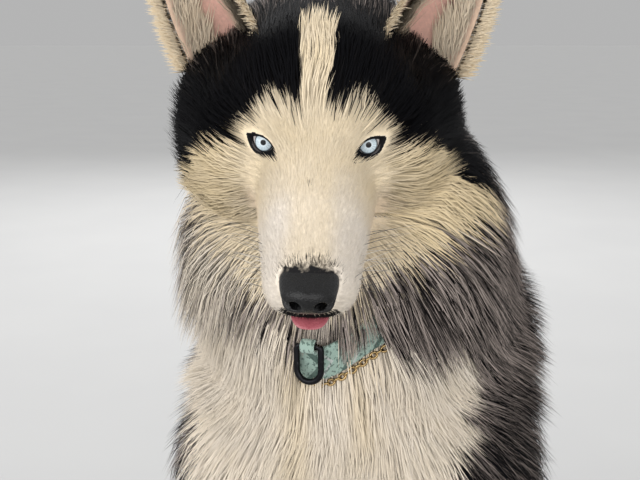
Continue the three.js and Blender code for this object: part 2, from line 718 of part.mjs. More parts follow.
// One claw at the tip of each toe: it curves down to the floor.
function claws(foot, [x, y], word, side) {
  TOES.forEach((t, i) => {
    const front = y - toeReach(t);
    const line = [[front + 3, 13], [front - 13, 12], [front - 21, 3]];
    const route = line.map(([py, pz]) => vec(side * (x + t), py, pz));
    const claw = (grow) =>
      taper(route, (u) => CLAW_RADIUS * (1 - 0.8 * u * u) + grow, 4);
    add(`${foot}_claw_${word}_${i + 1}`, claw(0), claw(GAP));
  });
}

// A ring of sections round the neck. section(direction) gives the corners of one, in the dog's frame.
const NECK_SIZE = 150;
const neckFlesh = new Flesh(neckForms, BODY_BLEND);
const collarAxis = vec(0, 0, 1).transformDirection(collarFrame);
function roundNeck(angle, along, over) {
  const direction = vec(Math.cos(angle), Math.sin(angle), 0).transformDirection(collarFrame);
  const fromRing = Math.atan2(Math.cos(angle), -Math.sin(angle));
  const pull = Math.exp(-((fromRing / COLLAR_PULL_WIDTH) ** 2));
  const from = COLLAR_AT.clone().addScaledVector(collarAxis, along - COLLAR_PULL * pull);
  const touch = reach(neckFlesh, from, direction, level(CORE_SHARE, COLLAR_OVER), NECK_SIZE);
  return touch.addScaledVector(direction, over + COLLAR_PULL_OUT * pull);
}
function closedRing(sections) {
  const corners = sections[0].length;
  const index = [];
  const at = (section, corner) => (section % sections.length) * corners + (corner % corners);
  for (let i = 0; i < sections.length; i++) {
    for (let c = 0; c < corners; c++) {
      index.push(at(i, c), at(i, c + 1), at(i + 1, c));
      index.push(at(i, c + 1), at(i + 1, c + 1), at(i + 1, c));
    }
  }
  const geometry = new THREE.BufferGeometry();
  const places = sections.flat().flatMap((p) => p.toArray());
  geometry.setAttribute("position", new THREE.Float32BufferAttribute(places, 3));
  geometry.setIndex(index);
  return solidOf(geometry);
}
function bandSection(angle, half, inner, outer) {
  const corners = [[-half, inner], [-half, outer], [half, outer], [half, inner]];
  return corners.map(([along, over]) => roundNeck(angle, along, over));
}
const middleOf = (points) => points.reduce((sum, p) => sum.add(p), vec(0, 0, 0)).divideScalar(points.length);
const BAND_STEPS = 32;
function collar() {
  const half = COLLAR_WIDTH / 2;
  const band = (grow) =>
    closedRing(
      Array.from({ length: BAND_STEPS }, (_, i) =>
        bandSection((2 * Math.PI * i) / BAND_STEPS, half + grow, -grow, COLLAR_WALL + grow),
      ),
    );
  add("collar", band(0), band(GAP));
  collarBuckle();
  chain();
}

// The buckle lies on the band, over the nape.
function collarBuckle() {
  const buckle = (grow) => {
    const sections = [-1, -0.6, 0, 0.6, 1].map((t) => {
      const angle = Math.PI / 2 + t * (BUCKLE_REACH + grow * 0.02);
      const half = COLLAR_WIDTH / 2 + (Math.abs(t) === 1 ? 1 : 3) + grow;
      return bandSection(angle, half, COLLAR_WALL + GAP - grow, COLLAR_WALL + GAP + BUCKLE_WALL + grow);
    });
    return ringSolid(middleOf(sections[0]), sections, middleOf(sections.at(-1)));
  };
  add("collar_buckle", buckle(0), buckle(GAP));
}

// The chain lies below the band, its links turned flat and upright by turns.
function chain() {
  const below = -COLLAR_WIDTH / 2 - CHAIN_BELOW;
  const links = (grow) =>
    closedRing(
      Array.from({ length: 2 * CHAIN_LINKS }, (_, i) => {
        const angle = (Math.PI * i) / CHAIN_LINKS;
        const tall = (i % 2 ? LINK_NARROW : LINK_BROAD) + grow;
        const deep = (i % 2 ? LINK_BROAD : LINK_NARROW) + grow;
        const corners = [[-tall, 0], [0, deep], [tall, 0], [0, -deep]];
        return corners.map(([along, over]) => roundNeck(angle, below + along, CHAIN_OVER + over));
      }),
    );
  add("chain", links(0), links(GAP));
}

// The ring is a D that hangs from its straight bar, and the loop of webbing on the band holds the bar.
function ringShape(width, height, wire) {
  const radius = width / 2 - wire / 2;
  const top = height / 2 - wire / 2;
  const bottom = -height / 2 + wire / 2 + radius;
  const points = [vec(-radius, 0, top), vec(radius, 0, top)];
  for (let i = 0; i <= 8; i++) {
    const a = -(Math.PI * i) / 8;
    points.push(vec(radius * Math.cos(a), 0, bottom + radius * Math.sin(a)));
  }
  return points;
}
function wireRing(points, wire, sides) {
  const middle = middleOf(points);
  const count = points.length;
  return closedRing(
    points.map((p, i) => {
      const before = points[(i + count - 1) % count].clone().sub(p).normalize();
      const after = points[(i + 1) % count].clone().sub(p).normalize();
      const outwards = before.clone().add(after).normalize();
      if (outwards.dot(p.clone().sub(middle)) < 0) outwards.negate();
      const stretch = 1 / Math.max(Math.sqrt((1 - before.dot(after)) / 2), 0.6);
      return Array.from({ length: sides }, (_, s) => {
        const a = (2 * Math.PI * s) / sides;
        const side = vec(0, 1, 0).multiplyScalar(Math.sin(a) * (wire / 2));
        return p.clone().addScaledVector(outwards, Math.cos(a) * (wire / 2) * stretch).add(side);
      });
    }),
  );
}
function ringAndLoop() {
  const place = new THREE.Matrix4().makeTranslation(RING_AT);
  const centres = ringShape(RING_WIDTH, RING_HEIGHT, RING_WIRE).map((p) => p.applyMatrix4(place));
  add("collar_ring", wireRing(centres, RING_WIRE, 8), wireRing(centres, RING_WIRE + 2 * GAP, 8));

  const bar = vec(RING_AT.x, RING_AT.y, RING_AT.z + RING_HEIGHT / 2 - RING_WIRE / 2);
  const inner = RING_WIRE / 2 + LOOP_CLEAR;
  const eye = new THREE.Shape().absarc(0, 0, inner + LOOP_WALL, 0, 2 * Math.PI);
  eye.holes.push(new THREE.Path().absarc(0, 0, inner, 0, 2 * Math.PI));
  const round = new THREE.ExtrudeGeometry(eye, { depth: LOOP_WIDTH, bevelEnabled: false, curveSegments: 6 });
  round.translate(0, 0, -LOOP_WIDTH / 2).rotateY(Math.PI / 2).translate(...bar.toArray());
  const tab = boxSolid(LOOP_TAB, [bar.x, bar.y + LOOP_TAB[1], bar.z]);
  add("collar_loop", joined([solidOf(round), tab]));
}

const fleshes = {};
for (const [name, { forms, blend }] of Object.entries(trunkPieces)) fleshes[name] = new Flesh(forms, blend);
for (const [name, { forms, blend }] of Object.entries(limbPieces)) {
  fleshes[`${name}_left`] = new Flesh(forms, blend);
  fleshes[`${name}_right`] = new Flesh(forms.map(mirrored), blend);
}

eyes();
noseLeather();
tongue();
ears();
ringAndLoop();
collar();
jawAndSkull();
for (const [side, word] of HANDS) {
  claws("fore", FOREPAW_AT, word, side);
  claws("hind", HINDPAW_AT, word, side);
}
for (const [name, piece] of Object.entries(trunkPieces)) addWrapped(name, piece);
for (const [side, word] of HANDS) {
  for (const [name, piece] of Object.entries(limbPieces)) {
    const forms = side === 1 ? piece.forms : piece.forms.map(mirrored);
    const spine = side === 1 ? piece.spine : opposite(piece.spine);
    addWrapped(`${name}_${word}`, { ...piece, forms, spine });
  }
}
for (const [name, [first, last]] of Object.entries(tailPieces)) {
  const forms = tailForms.slice(first, last);
  const shape = { rings: 2 * (last - first), sides: 12, caps: 2 };
  const rows = name === "tail_tip" ? [[0.5]] : [[0.15], [0.6]];
  const spine = tailPath.slice(first, last + 1);
  const locks = { ...TAIL_LOCKS, rows };
  addWrapped(name, { forms, blend: LEG_BLEND, spine, shape, locks, besides: ["torso"] });
}

// The finish of each piece. The words before a piece's first underscore choose it.
const FINISHES = {
  eye: { color: 0xbfd4de, roughness: 0.1 },
  nose: { color: 0x141414, roughness: 0.35 },
  tongue: { color: 0xc8737d, roughness: 0.4 },
  ear: { color: 0x2a2a2c, roughness: 0.9 },
  head: { color: 0xd9c49c, roughness: 0.9 },
  jaw: { color: 0xe2d2b4, roughness: 0.9 },
  neck: { color: 0x77736d, roughness: 0.95 },
  torso: { color: 0x4a4a4d, roughness: 0.95 },
  thigh: { color: 0x6c6a68, roughness: 0.95 },
  foreleg: { color: 0xd8ccb8, roughness: 0.9 },
  forepaw: { color: 0xe0d6c4, roughness: 0.9 },
  hindleg: { color: 0xd8ccb8, roughness: 0.9 },
  hindpaw: { color: 0xe0d6c4, roughness: 0.9 },
  fore: { color: 0x3a332e, roughness: 0.5 },
  hind: { color: 0x3a332e, roughness: 0.5 },
  tail: { color: 0x5a5a5c, roughness: 0.95 },
  collar: { color: 0x8fb5a4, roughness: 0.8 },
  collar_ring: { color: 0x111114, roughness: 0.35, metalness: 0.8 },
  collar_buckle: { color: 0x15151a, roughness: 0.4 },
  chain: { color: 0x8a6f45, roughness: 0.3, metalness: 0.9 },
};
function meshOf(name, frame) {
  const geometry = geometryOf(pieces.get(name)).applyMatrix4(frame.clone().invert());
  const finish = FINISHES[name] ?? FINISHES[name.split("_")[0]];
  const mesh = new THREE.Mesh(geometry, new THREE.MeshStandardMaterial(finish));
  mesh.name = name;
  return mesh;
}

const HEAD_PIECES = /^(head|jaw|nose|tongue|eye_|ear_)/;
const COLLAR_PIECES = /^(collar|chain)/;
const husky = new THREE.Group();
husky.add(headGroup, collarGroup);
for (const name of pieces.keys()) {
  if (HEAD_PIECES.test(name)) headGroup.add(meshOf(name, headFrame));
  else if (COLLAR_PIECES.test(name)) collarGroup.add(meshOf(name, collarFrame));
  else husky.add(meshOf(name, new THREE.Matrix4()));
}
const box = new THREE.Box3().setFromObject(husky, true);
const centre = box.getCenter(vec(0, 0, 0));
husky.position.set(-centre.x, -centre.y, -box.min.z);

export default husky;
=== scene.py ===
"""A life-size Siberian husky with a long coat, sitting with its head bowed.

It wears a webbing collar with a ring and a thin chain. The dog's forms are in millimetres, in its own frame:
it faces -Y and its left side is +X.
"""

import json
import math
from collections import namedtuple

import bmesh
import bpy
import numpy as np
from bpy.props import FloatProperty, FloatVectorProperty, IntProperty, PointerProperty
from mathutils import Matrix, Vector
from mathutils.kdtree import KDTree

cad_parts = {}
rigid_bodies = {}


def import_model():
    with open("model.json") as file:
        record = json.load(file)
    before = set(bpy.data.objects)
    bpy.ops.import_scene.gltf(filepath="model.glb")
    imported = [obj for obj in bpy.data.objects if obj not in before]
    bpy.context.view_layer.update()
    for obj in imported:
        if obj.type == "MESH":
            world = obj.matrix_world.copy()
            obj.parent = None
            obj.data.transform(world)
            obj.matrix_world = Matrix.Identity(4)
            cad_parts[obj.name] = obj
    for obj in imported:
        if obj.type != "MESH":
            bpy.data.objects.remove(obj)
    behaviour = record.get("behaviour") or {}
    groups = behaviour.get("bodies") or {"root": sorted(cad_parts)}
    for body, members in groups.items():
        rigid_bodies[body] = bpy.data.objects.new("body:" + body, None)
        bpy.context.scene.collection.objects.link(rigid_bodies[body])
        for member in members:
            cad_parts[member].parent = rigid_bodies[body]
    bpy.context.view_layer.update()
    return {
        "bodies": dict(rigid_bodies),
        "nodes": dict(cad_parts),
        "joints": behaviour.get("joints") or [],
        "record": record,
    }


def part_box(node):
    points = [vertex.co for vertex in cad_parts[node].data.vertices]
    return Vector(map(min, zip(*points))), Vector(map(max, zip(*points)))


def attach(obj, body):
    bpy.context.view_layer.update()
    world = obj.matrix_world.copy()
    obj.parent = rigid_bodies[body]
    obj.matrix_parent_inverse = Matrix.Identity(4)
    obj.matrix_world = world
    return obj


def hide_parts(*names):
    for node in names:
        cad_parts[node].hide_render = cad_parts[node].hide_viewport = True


bl_info = {
    "name": "Sitting husky",
    "version": (1, 0, 0),
    "blender": (4, 5, 0),
    "location": "3D View > Sidebar > Husky",
    "description": "Makes the skin, coat, eyes, nose, claws and collar of a sitting Siberian husky",
    "category": "Add Mesh",
}

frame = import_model()

# Driving dimensions that the solids share, in millimetres and degrees.
HEAD_AT = (0.0, -236.0, 702.0)
HEAD_TURN = 17.0
HEAD_BOW = 29.0
HEAD_LEAN = 1.2
BODY_BLEND = 13.0  # how softly the forms of the body run into one another
LEG_BLEND = 8.0
HEAD_BLEND = 6.0
PAW_BLEND = 3.0
CORE_SHARE = 0.45  # how much of the coat's depth is wool where the solids carry the collar
EYE_RADIUS = 11.5
EYE_AT = (30.0, -61.0, 8.0)
EYE_TURN = 12.0
EYE_LIFT = 16.0
EYE_OPENING = 24.0
EYE_OPENING_HEIGHT = 13.0
EYE_SLANT = 24.0
LID = 1.8
EAR_HEIGHT = 116.0
EAR_WIDTH = 74.0
EAR_WALL = 4.5
EAR_AT = (60.0, 12.0, 16.0)
EAR_LEAN_OUT = 21.0
EAR_LEAN_BACK = 4.0
EAR_OPENING_TURN = 18.0
TONGUE_HALF_SIZES = (13.0, 30.0, 3.2)
TONGUE_DROOP = 6.0
TONGUE_AT = (0.0, -133.0, -53.0)
COLLAR_AT = (0.0, -180.0, 583.5)
COLLAR_TILT = 24.0
COLLAR_PULL = 26.0  # how far the ring has drawn the band down, and out from the neck
COLLAR_PULL_OUT = 7.0
COLLAR_PULL_WIDTH = 0.42
COLLAR_WIDTH = 25.0
COLLAR_WALL = 3.0
COLLAR_OVER = 1.2
BUCKLE_REACH = 0.21  # half its length round the neck, as an angle
CHAIN_BELOW = 4.0
CHAIN_OVER = 2.8
RING_AT = (2.0, -266.0, 523.0)
RING_WIDTH = 22.0
RING_HEIGHT = 30.0
RING_WIRE = 4.4
CLAW_RADIUS = 3.4

# Driving dimensions of the scene alone.
PIECE_BLEND = 6.0  # how softly one part of the dog runs into the next
WOOL_SHARE = 0.42  # how much of a long coat's depth the wool fills, and the depth of coat that has none
WOOL_FROM = 8.0
LID_BLEND = 1.2
GAZE_UP = 8.5  # degrees that the pupils look up in their lids
CORNEA_RISE = 0.9
CORNEA_EDGE = (34.0, 24.0)  # degrees from the eye's front, at its foot and where it is whole
EAR_INSET = 0.6  # how far the ear's skin lies inside the solid
LINK_HALF_LENGTH = 0.0029  # in metres, as the wire of a link
LINK_HALF_WIDTH = 0.0019
GROUND = 0.8  # how low a hair may lie over the floor, and the skin
SKIN_GROUND = 1.5
BODY_CELL = 6.0  # how finely the field is sampled
HEAD_CELL = 3.0
PATCH = 0.003  # how wide a tuft is on the map that its colours are baked to

# The photograph's view, in the dog's frame.
VIEW_FROM = (233.4, -879.6, 749.1)
VIEW_LOOK = (-0.3345, 0.9191, -0.2079)
LENS = 56.63
SENSOR = 36.0

# The dog's frame stands in the model's frame where the ring, which is the same in both, says.
SHIFT = 500 * sum((np.array(corner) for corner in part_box("collar_ring")), np.zeros(3)) - np.array(RING_AT)


def place(points):
    """Millimetres in the dog's frame to metres in the model's."""
    return (np.asarray(points, float) + SHIFT) / 1000


def turned(axis, degrees):
    return np.array(Matrix.Rotation(math.radians(degrees), 3, axis))


def joined_frame(*steps):
    """A frame from moves (three numbers), turns (3 x 3) and frames, each in the frame of those before it."""
    joined = np.eye(4)
    for step in steps:
        made = np.eye(4)
        if np.shape(step) == (3,):
            made[:3, 3] = step
        elif np.shape(step) == (3, 3):
            made[:3, :3] = step
        else:
            made = step
        joined = joined @ made
    return joined


def out_of(frame, points):
    """Points of a frame to the dog's."""
    return np.asarray(points, float) @ frame[:3, :3].T + frame[:3, 3]


def into(frame, points):
    """Points of the dog's frame to another."""
    return (np.asarray(points, float) - frame[:3, 3]) @ frame[:3, :3]


HEAD = joined_frame(np.array(HEAD_AT), turned("Z", HEAD_TURN), turned("X", HEAD_BOW), turned("Y", HEAD_LEAN))
COLLAR = joined_frame(np.array(COLLAR_AT), turned("X", COLLAR_TILT))
NO_FRAME = np.eye(4)


def eye_frame(side):
    at = np.array([side * EYE_AT[0], EYE_AT[1], EYE_AT[2]])
    return joined_frame(HEAD, at, turned("Z", side * EYE_TURN), turned("X", -EYE_LIFT))


def ear_frame(side):
    at = np.array([side * EAR_AT[0], EAR_AT[1], EAR_AT[2]])
    leans = turned("Y", side * EAR_LEAN_OUT), turned("X", -EAR_LEAN_BACK)
    return joined_frame(HEAD, at, *leans, turned("Z", side * EAR_OPENING_TURN))


def form(start, end, radii, coat, lie, wide=1.0, tall=1.0):
    """A form of the dog: its ends, their radii, the coat's depth, how the hair lies, its width and height."""
    return (start, end, radii, coat, lie, wide, tall)


def mirrored(shape):
    start, end, radii, coat, lie, wide, tall = shape
    return ((-start[0], *start[1:]), (-end[0], *end[1:]), radii, coat, (-lie[0], *lie[1:]), wide, tall)


def both(*shapes):
    return [half for shape in shapes for half in (shape, mirrored(shape))]


SKULL = [
    form((0, -24, 6), (0, 26, 4), (54, 50), 14, (0, 1, 0.1), wide=1.08),
    form((0, -52, 4), (0, -98, -18), (27, 22), 4, (0, 1, 0.35), wide=1.1),
    form((0, -84, -21), (0, -145, -31), (25, 17), 3, (0, 1, 0.1), wide=1.14),
    form((0, 26, -20), (0, 50, -24), (48, 46), 34, (0, 0.8, -0.5)),
    form((0, 40, 10), (0, 52, 0), (36, 36), 20, (0, 1, -0.25)),
    *both(
        form((20, -54, 20), (38, -32, 24), (15, 19), 6, (0.35, 0.7, 0.6)),
        form((13, -78, -35), (12, -142, -41), (21, 14), 4, (0.2, 1, -0.15)),
        form((36, -46, -14), (52, 4, -6), (21, 25), 20, (0.55, 0.9, -0.3)),
        form((34, -26, -38), (44, 18, -30), (25, 29), 38, (0.75, 0.75, -0.55)),
    ),
]
JAW = [
    form((0, -44, -60), (0, -130, -56), (22, 11), 5, (0, 1, -0.35)),
    *both(form((14, -50, -58), (6, -132, -56), (14, 7.5), 5, (0.3, 1, -0.3))),
]
NOSE = [
    form((0, -154, -23), (0, -162, -27), (14, 11.5), 0, (0, 1, 0), wide=1.14, tall=0.95),
    *both(form((9.5, -157, -28), (9.5, -163, -30), (7.5, 7), 0, (0, 1, 0))),
]
TRUNK = [
    form((0, -158, 418), (0, -128, 345), (66, 62), 46, (0, 0.15, -1)),
    form((0, -92, 418), (0, 34, 308), (98, 104), 34, (0, 0.7, -0.71), wide=0.84),
    form((0, 34, 292), (0, 130, 196), (94, 84), 34, (0, 0.6, -0.8), wide=0.86),
    form((0, 140, 190), (0, 200, 112), (84, 86), 34, (0, 0.55, -0.84), wide=0.95),
    form((0, -72, 500), (0, 66, 388), (40, 42), 30, (0, 0.76, -0.65)),
    *both(
        form((56, -84, 492), (70, -160, 404), (40, 44), 34, (0.12, 0.45, -0.9)),
        form((72, -160, 400), (76, -124, 300), (43, 38), 32, (0.08, 0.3, -0.95)),
    ),
]
NECK = [
    form((0, -116, 478), (0, -164, 590), (72, 62), 48, (0, 0.55, -0.84)),
    form((0, -164, 590), (0, -184, 676), (60, 46), 44, (0, 0.6, -0.8)),
    form((0, -178, 500), (0, -196, 580), (38, 36), 40, (0, -0.1, -1)),
    *both(form((30, -150, 500), (32, -190, 620), (38, 36), 46, (0.5, 0.3, -0.85))),
]
FORELEG = [
    form((76, -126, 300), (70, -156, 170), (36, 27), 20, (0.05, 0.25, -1)),
    form((70, -156, 170), (66, -170, 62), (26, 21), 9, (0, 0.1, -1)),
    form((76, -106, 292), (72, -128, 180), (20, 14), 26, (0, 0.5, -0.9)),
]
TOES = (-23, -8, 8, 23)
FORE_TOES_AT = (66, -190)
HIND_TOES_AT = (112, -24)


def toe_reach(toe):
    return 44 - 0.022 * toe * toe


def paw(x, y):
    """A paw's forms, with its toes spread from the middle of its foot."""
    toes = [
        form((x + t * 0.85, y - 16, 16), (x + t, y - toe_reach(t), 11), (11.5, 11), 3, (0, -1, -0.2))
        for t in TOES
    ]
    return [
        form((x, y + 12, 30), (x, y - 18, 19), (22, 19), 5, (0, -1, -0.3), wide=1.22),
        form((x, y + 2, 15), (x, y - 16, 13), (17, 15), 3, (0, -1, 0), wide=1.5),
        *toes,
    ]


THIGH = [
    form((70, 178, 138), (84, 40, 190), (66, 54), 32, (0.1, 0.5, -0.85), wide=0.86),
    form((72, 112, 150), (72, 96, 160), (78, 78), 32, (0.12, 0.5, -0.85), wide=0.76),
    form((92, 30, 196), (98, -2, 204), (46, 38), 24, (0.1, 0.1, -1)),
    form((98, 0, 190), (100, 118, 76), (38, 34), 26, (0.1, 0.4, -0.9)),
]
HINDLEG = [
    form((100, 150, 30), (106, 74, 22), (26, 20), 8, (0, -1, -0.1)),
    form((106, 74, 22), (110, 6, 22), (20, 21), 7, (0, -1, -0.1)),
]
TAIL_PATH = [(0, 248, 104), (26, 306, 66), (82, 338, 50), (150, 330, 46), (206, 288, 44), (232, 226, 42)]
TAIL_COAT = (34, 40, 44, 44, 36)
TAIL = [
    form(a, b, (22 - 2.4 * i, 20 - 2.4 * i), TAIL_COAT[i], tuple(np.subtract(b, a)))
    for i, (a, b) in enumerate(zip(TAIL_PATH, TAIL_PATH[1:]))
]


class Flesh:
    """Forms that run into one another. at() gives the height over the skin, the coat's depth and its lie."""

    def __init__(self, forms, blend, frame=NO_FRAME):
        starts, ends, radii, coats, lies, wides, talls = zip(*forms)
        self.frame, self.blend = frame, blend
        self.squeeze = np.array([(w, 1, t) for w, t in zip(wides, talls)], float)
        self.start = np.array(starts, float) / self.squeeze
        self.run = np.array(ends, float) / self.squeeze - self.start
        self.radii, self.coats = np.array(radii, float), np.array(coats, float)
        lies = np.array(lies, float)
        self.lies = (lies / np.linalg.norm(lies, axis=1, keepdims=True)) @ frame[:3, :3].T

    def reach(self):
        """The lowest and highest corner that the forms and their coat reach, in the dog's frame."""
        ends = np.concatenate([self.start * self.squeeze, (self.start + self.run) * self.squeeze])
        spread = (self.radii.max() + self.coats.max()) * self.squeeze.max() + 12
        ends = out_of(self.frame, ends)
        return ends.min(0) - spread, ends.max(0) + spread

    def at(self, points):
        p = into(self.frame, points)
        near = np.full(len(p), np.inf)
        distances = []
        for start, run, squeeze, (first, last) in zip(self.start, self.run, self.squeeze, self.radii):
            q = p / squeeze - start
            t = np.clip(q @ run / (run @ run), 0, 1)
            q -= t[:, None] * run
            squeezed = np.maximum(np.sqrt((q * q).sum(1)), 1e-6)
            q *= squeeze
            real = np.sqrt((q * q).sum(1))
            distance = real * (1 - (first + (last - first) * t) / squeezed)
            distances.append(distance)
            near = np.minimum(near, distance)
        shares = np.exp((near - np.array(distances)) / self.blend).T
        total = shares.sum(1)
        height = near - self.blend * np.log(total)
        return height, shares @ self.coats / total, shares @ self.lies / total[:, None]


def paired(name, forms, blend):
    return {f"{name}_left": Flesh(forms, blend), f"{name}_right": Flesh([mirrored(f) for f in forms], blend)}


PARTS = {
    "head": Flesh(SKULL, HEAD_BLEND, HEAD),
    "jaw": Flesh(JAW, HEAD_BLEND, HEAD),
    "neck": Flesh(NECK, BODY_BLEND),
    "torso": Flesh(TRUNK, BODY_BLEND),
    **paired("thigh", THIGH, BODY_BLEND),
    **paired("foreleg", FORELEG, LEG_BLEND),
    **paired("forepaw", paw(*FORE_TOES_AT), PAW_BLEND),
    **paired("hindleg", HINDLEG, LEG_BLEND),
    **paired("hindpaw", paw(*HIND_TOES_AT), PAW_BLEND),
    "tail": Flesh(TAIL, LEG_BLEND),
}
PART_NAMES = list(PARTS)


def whole_dog(points):
    """Height over the skin, coat depth, lie, and the nearest part, of the whole dog."""
    count = len(points)
    heights = np.full((len(PARTS), count), 400.0)
    coats, lies = np.zeros((len(PARTS), count)), np.zeros((len(PARTS), count, 3))
    for i, part in enumerate(PARTS.values()):
        low, high = part.reach()
        inside = np.all((points > low - 30) & (points < high + 30), axis=1)
        heights[i, inside], coats[i, inside], lies[i, inside] = part.at(points[inside])
    nearest = heights.argmin(0)
    near = heights.min(0)
    shares = np.exp((near - heights) / PIECE_BLEND)
    total = shares.sum(0)
    height = near - PIECE_BLEND * np.log(total)
    lie = np.einsum("pn,pnk->nk", shares, lies) / total[:, None]
    return height, (shares * coats).sum(0) / total, lie, nearest


def skin_level(coat):
    """How high over the bare form the wool stands, from which the long hair grows."""
    return WOOL_SHARE * np.maximum(coat - WOOL_FROM, 0)


def skin_height(points):
    """The height over the wool, with the round of the lids over the eyes."""
    height, coat, _, _ = whole_dog(points)
    height = height - skin_level(coat)
    for side in (1, -1):
        lid = np.linalg.norm(points - eye_frame(side)[:3, 3], axis=1) - EYE_RADIUS - LID
        near = lid < 30
        height[near] = -LID_BLEND * np.logaddexp(-height[near] / LID_BLEND, -lid[near] / LID_BLEND)
    return height


def eye_plane(side, points):
    """Places on an eye's opening: along it, across it, and how far in front of the eye's middle."""
    local = into(eye_frame(side), points)
    slant = math.radians(side * EYE_SLANT)
    u = local[:, 0] * math.cos(slant) + local[:, 2] * math.sin(slant)
    v = -local[:, 0] * math.sin(slant) + local[:, 2] * math.cos(slant)
    return u, v, -local[:, 1]


def in_almond(points, grow=0.0):
    """Whether points lie in front of an eye, between its lids."""
    found = np.zeros(len(points), bool)
    for side in (1, -1):
        u, v, front = eye_plane(side, points)
        half = EYE_OPENING / 2 + grow
        edge = EYE_OPENING_HEIGHT / 2 * np.clip(1 - (u / half) ** 2, 0, None) + grow
        found |= (np.abs(v) < edge) & (np.abs(u) < half) & (front > 0) & (front < 30)
    return found


LIPS_HEIGHT = -49.5
LIPS_DROP = 5
LIPS_CORNER = -50


def mouth_gap(points):
    """How far points lie from the line between the lips."""
    _, y, z = into(HEAD, points).T
    line = LIPS_HEIGHT - LIPS_DROP * np.exp(-(((y - LIPS_CORNER) / 14) ** 2))
    return np.hypot(z - line, 2 * np.clip(y - LIPS_CORNER + 2, 0, None)) + 20 * (y > -30)


class Grid:
    """Samples of the dog's field in a box, for quick reading."""

    def __init__(self, low, high, cell):
        self.low, self.cell = np.array(low, float), cell
        self.shape = tuple(int(math.ceil((h - b) / cell)) + 1 for b, h in zip(low, high))
        axes = [start + cell * np.arange(n) for start, n in zip(low, self.shape)]
        points = np.stack(np.meshgrid(*axes, indexing="ij"), -1).reshape(-1, 3)
        values = [whole_dog(chunk) for chunk in np.array_split(points, max(1, len(points) // 200000))]
        self.height = np.concatenate([v[0] for v in values]).reshape(self.shape)
        slope = np.stack(np.gradient(self.height, cell), -1)
        coat = np.concatenate([v[1] for v in values])[:, None]
        lie = np.concatenate([v[2] for v in values])
        table = [self.height.reshape(-1, 1), slope.reshape(-1, 3), coat, lie]
        self.table = np.concatenate(table, 1).astype(np.float32)

    def at(self, points):
        """Height, outward direction, coat depth and lie."""
        q = (points - self.low) / self.cell
        q = np.clip(q, 0, np.array(self.shape) - 1.001)
        base = q.astype(int)
        part = q - base
        found = 0
        for corner in np.ndindex(2, 2, 2):
            weight = np.prod(np.where(corner, part, 1 - part), axis=1)
            index = np.ravel_multi_index(tuple((base + corner).T), self.shape)
            found = found + weight[:, None] * self.table[index]
        normal = found[:, 1:4] / np.maximum(np.linalg.norm(found[:, 1:4], axis=1, keepdims=True), 1e-9)
        return found[:, 0], normal, found[:, 4], found[:, 5:8]


def netted(height, low, cell):
    """A closed quad mesh where the height is 0, from one point in each cell that it crosses."""
    inside = height < 0
    shape = np.array(height.shape) - 1
    corners = list(np.ndindex(2, 2, 2))

    def window(array, corner):
        return array[tuple(slice(c, c + n) for c, n in zip(corner, shape))]

    count = sum(window(inside, c).astype(int) for c in corners)
    cells = np.argwhere((count > 0) & (count < 8))
    number = np.full(shape, -1)
    number[tuple(cells.T)] = np.arange(len(cells))
    total, hits = np.zeros((len(cells), 3)), np.zeros(len(cells))
    for a in corners:
        for axis in range(3):
            if a[axis]:
                continue
            b = tuple(c + (i == axis) for i, c in enumerate(a))
            first, second = height[tuple((cells + a).T)], height[tuple((cells + b).T)]
            crossed = (first < 0) != (second < 0)
            t = first / np.where(crossed, first - second, 1)
            point = cells + np.array(a) + t[:, None] * (np.array(b) - a)
            total += point * crossed[:, None]
            hits += crossed
    points = low + cell * total / hits[:, None]
    quads = []
    for axis in range(3):
        u, v = (axis + 1) % 3, (axis + 2) % 3
        step = [0, 0, 0]
        step[axis] = 1
        cut = [slice(None)] * 3
        cut[axis] = slice(0, -1)
        ahead = [slice(None)] * 3
        ahead[axis] = slice(1, None)
        here, there = inside[tuple(cut)], inside[tuple(ahead)]
        for leaving in (True, False):
            edges = np.argwhere((here & ~there) if leaving else (~here & there))
            edges = edges[(edges[:, u] > 0) & (edges[:, v] > 0)]
            edges = edges[(edges[:, u] < shape[u]) & (edges[:, v] < shape[v])]
            around = []
            for du, dv in ((-1, -1), (0, -1), (0, 0), (-1, 0)):
                at = edges.copy()
                at[:, u] += du
                at[:, v] += dv
                around.append(number[tuple(at.T)])
            quad = np.stack(around, 1)
            quads.append(quad if leaving else quad[:, ::-1])
    return points, np.concatenate(quads)


def unit(vectors):
    return vectors / np.maximum(np.linalg.norm(vectors, axis=-1, keepdims=True), 1e-9)


def rises(points, height_of, step):
    """How much a height gains over two steps along X, Y and Z."""
    steps = step * np.eye(3)
    return np.stack([height_of(points + move) - height_of(points - move) for move in steps], 1)


def settled(points, height_of, rounds=3, step=0.4):
    """Moves points along the slope until their height is 0."""
    points = points.copy()
    for _ in range(rounds):
        height = height_of(points)
        slope = rises(points, height_of, step) / (2 * step)
        steep = np.maximum((slope * slope).sum(1), 0.25)
        points -= np.clip(height / steep, -3, 3)[:, None] * slope
    return points


def slopes(points, height_of, step=0.4):
    """The ways in which a height grows fastest."""
    return unit(rises(points, height_of, step))


def smooth(low, high, value):
    t = np.clip((value - low) / (high - low), 0, 1)
    return t * t * (3 - 2 * t)


def ripple(points, size, seed=0):
    """A soft noise from -1 to 1, with waves of about the given size."""
    rng = np.random.default_rng(seed)
    total = 0
    for _ in range(5):
        direction = rng.normal(size=3)
        direction /= np.linalg.norm(direction)
        across = rng.normal(size=3)
        across -= across @ direction * direction
        across /= np.linalg.norm(across)
        bent = np.sin(points @ (across * 4.1 / size) + rng.uniform(0, 6.3))
        wave = points @ (direction * 6.3 / size) + 1.4 * bent
        total = total + np.sin(wave + rng.uniform(0, 6.3))
    return total / 3.2


